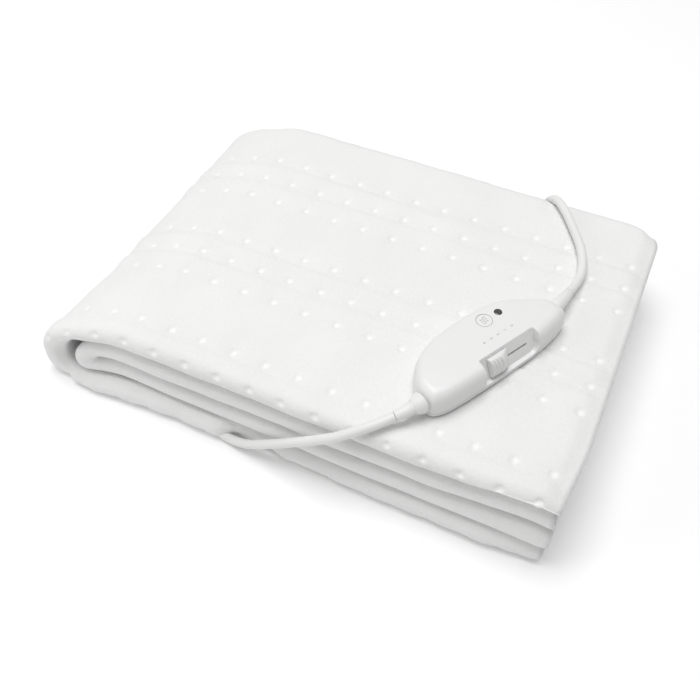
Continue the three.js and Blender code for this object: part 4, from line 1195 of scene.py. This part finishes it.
# Finishes: tone, roughness, and the grain's scale and depth; then what all the plastics share
plastics = {
    "shellWhite": ((0.80, 0.80, 0.795), 0.36, 1500.0, 0.00001),
    "knobWhite": ((0.77, 0.77, 0.765), 0.42, 1500.0, 0.00001),
    "leadWhite": ((0.80, 0.80, 0.79), 0.46, 2200.0, 0.00002),
    "tieWhite": ((0.70, 0.70, 0.69), 0.6, 900.0, 0.00004),
    "markInk": ((0.42, 0.42, 0.42), 0.55, 1500.0, 0.00001),
}
moulding = {"cloud": 35.0, "shade": 0.985, "grainGloss": 0.10, "cloudGloss": 0.06, "relief": 0.35}
nickel = {
    "tones": ((0.62, 0.61, 0.59, 1), (0.72, 0.71, 0.69, 1)), "roughness": 0.22, "spread": 0.16,
    "grain": (60.0, 2400.0, 2400.0),
}
smoked = {
    "tones": ((0.035, 0.037, 0.038, 1), (0.075, 0.078, 0.08, 1)), "roughness": 0.16, "spread": 0.1,
    "grain": 900.0,
}


def mouldedPlastic(name, tone, roughness, grain, depth):
    material, board, shader, where = newMaterial(name, {"Specular IOR Level": 0.5, "IOR": 1.48})
    cloud = board.noise(where, moulding["cloud"], 2.0)
    fine = board.noise(where, grain, 2.0)
    shade = tuple(c * moulding["shade"] for c in tone)
    feed(board, shader, "Base Color", board.blend(cloud.eased(0.3, 0.7), shade + (1,), tone + (1,)))
    gloss = (fine - 0.5) * moulding["grainGloss"] + (cloud - 0.5) * moulding["cloudGloss"]
    feed(board, shader, "Roughness", roughness + gloss)
    feed(board, shader, "Normal", bump(board, fine, depth, moulding["relief"]))
    return material


def metalFinish():
    material, board, shader, where = newMaterial("nickelPin", {"Metallic": 1.0})
    scales = {0: where, 1: nickel["grain"]}
    brushed = board.noise(board.add("ShaderNodeVectorMath", {"operation": "MULTIPLY"}, scales), 1.0, 3.0)
    feed(board, shader, "Base Color", board.blend(brushed, *nickel["tones"]))
    feed(board, shader, "Roughness", nickel["roughness"] + brushed * nickel["spread"])
    return material


def lampFinish():
    fixed = {"Specular IOR Level": 0.6, "Coat Weight": 0.4}
    material, board, shader, where = newMaterial("smokedLens", fixed)
    speck = board.noise(where, smoked["grain"], 2.0)
    feed(board, shader, "Base Color", board.blend(speck.eased(0.3, 0.7), *smoked["tones"]))
    feed(board, shader, "Roughness", smoked["roughness"] + speck * smoked["spread"])
    return material


finishes = {name: mouldedPlastic(name, *facts) for name, facts in plastics.items()}
finishes |= {"lens": lampFinish(), "metal": metalFinish()}

# Each piece with its finish, the body that it rides on, its slot and the nodes that it stands for
pieces = [
    (sheet, None, "blanket", "fleece", ["underblanket"]),
    (controllerCover, "shellWhite", "blanket", "shell", ["controller_cover"]),
    (controllerBase, "shellWhite", "blanket", "shell", ["controller_base"]),
    (switchKnob, "knobWhite", "switch", "knob", ["switch_knob"]),
    (lampWindow, "lens", "blanket", "lamp", ["lamp_window"]),
    (printedMarks, "markInk", "blanket", None, []),
    (leadBoot, "leadWhite", "blanket", "lead", ["lead_boot"]),
    (mainsBoot, "leadWhite", "blanket", "lead", ["mains_boot"]),
    (blanketLead, "leadWhite", "blanket", "lead", ["blanket_lead"]),
    (mainsLead, "leadWhite", "blanket", "lead", ["mains_lead", "mains_hank", "mains_tail"]),
    (hankTie, "tieWhite", "blanket", "tie", ["hank_tie"]),
    (plugPieces[0], "leadWhite", "blanket", "lead", ["plug_boot"]),
    (plugPieces[1], "leadWhite", "blanket", "lead", ["plug_body"]),
    (plugPieces[2], "metal", "blanket", "pin", ["plug_pin_left"]),
    (plugPieces[3], "metal", "blanket", "pin", ["plug_pin_right"]),
]
for piece, finish, body, slot, nodes in pieces:
    if finish:  # the sheet has its own already
        dress(piece, finishes[finish])
    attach(piece, body)
    if nodes:
        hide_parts(*nodes)
print("finishes on, pieces ride")

round(lengthOf(blanketLine), 3)
round(lengthOf(mainsLine), 3)
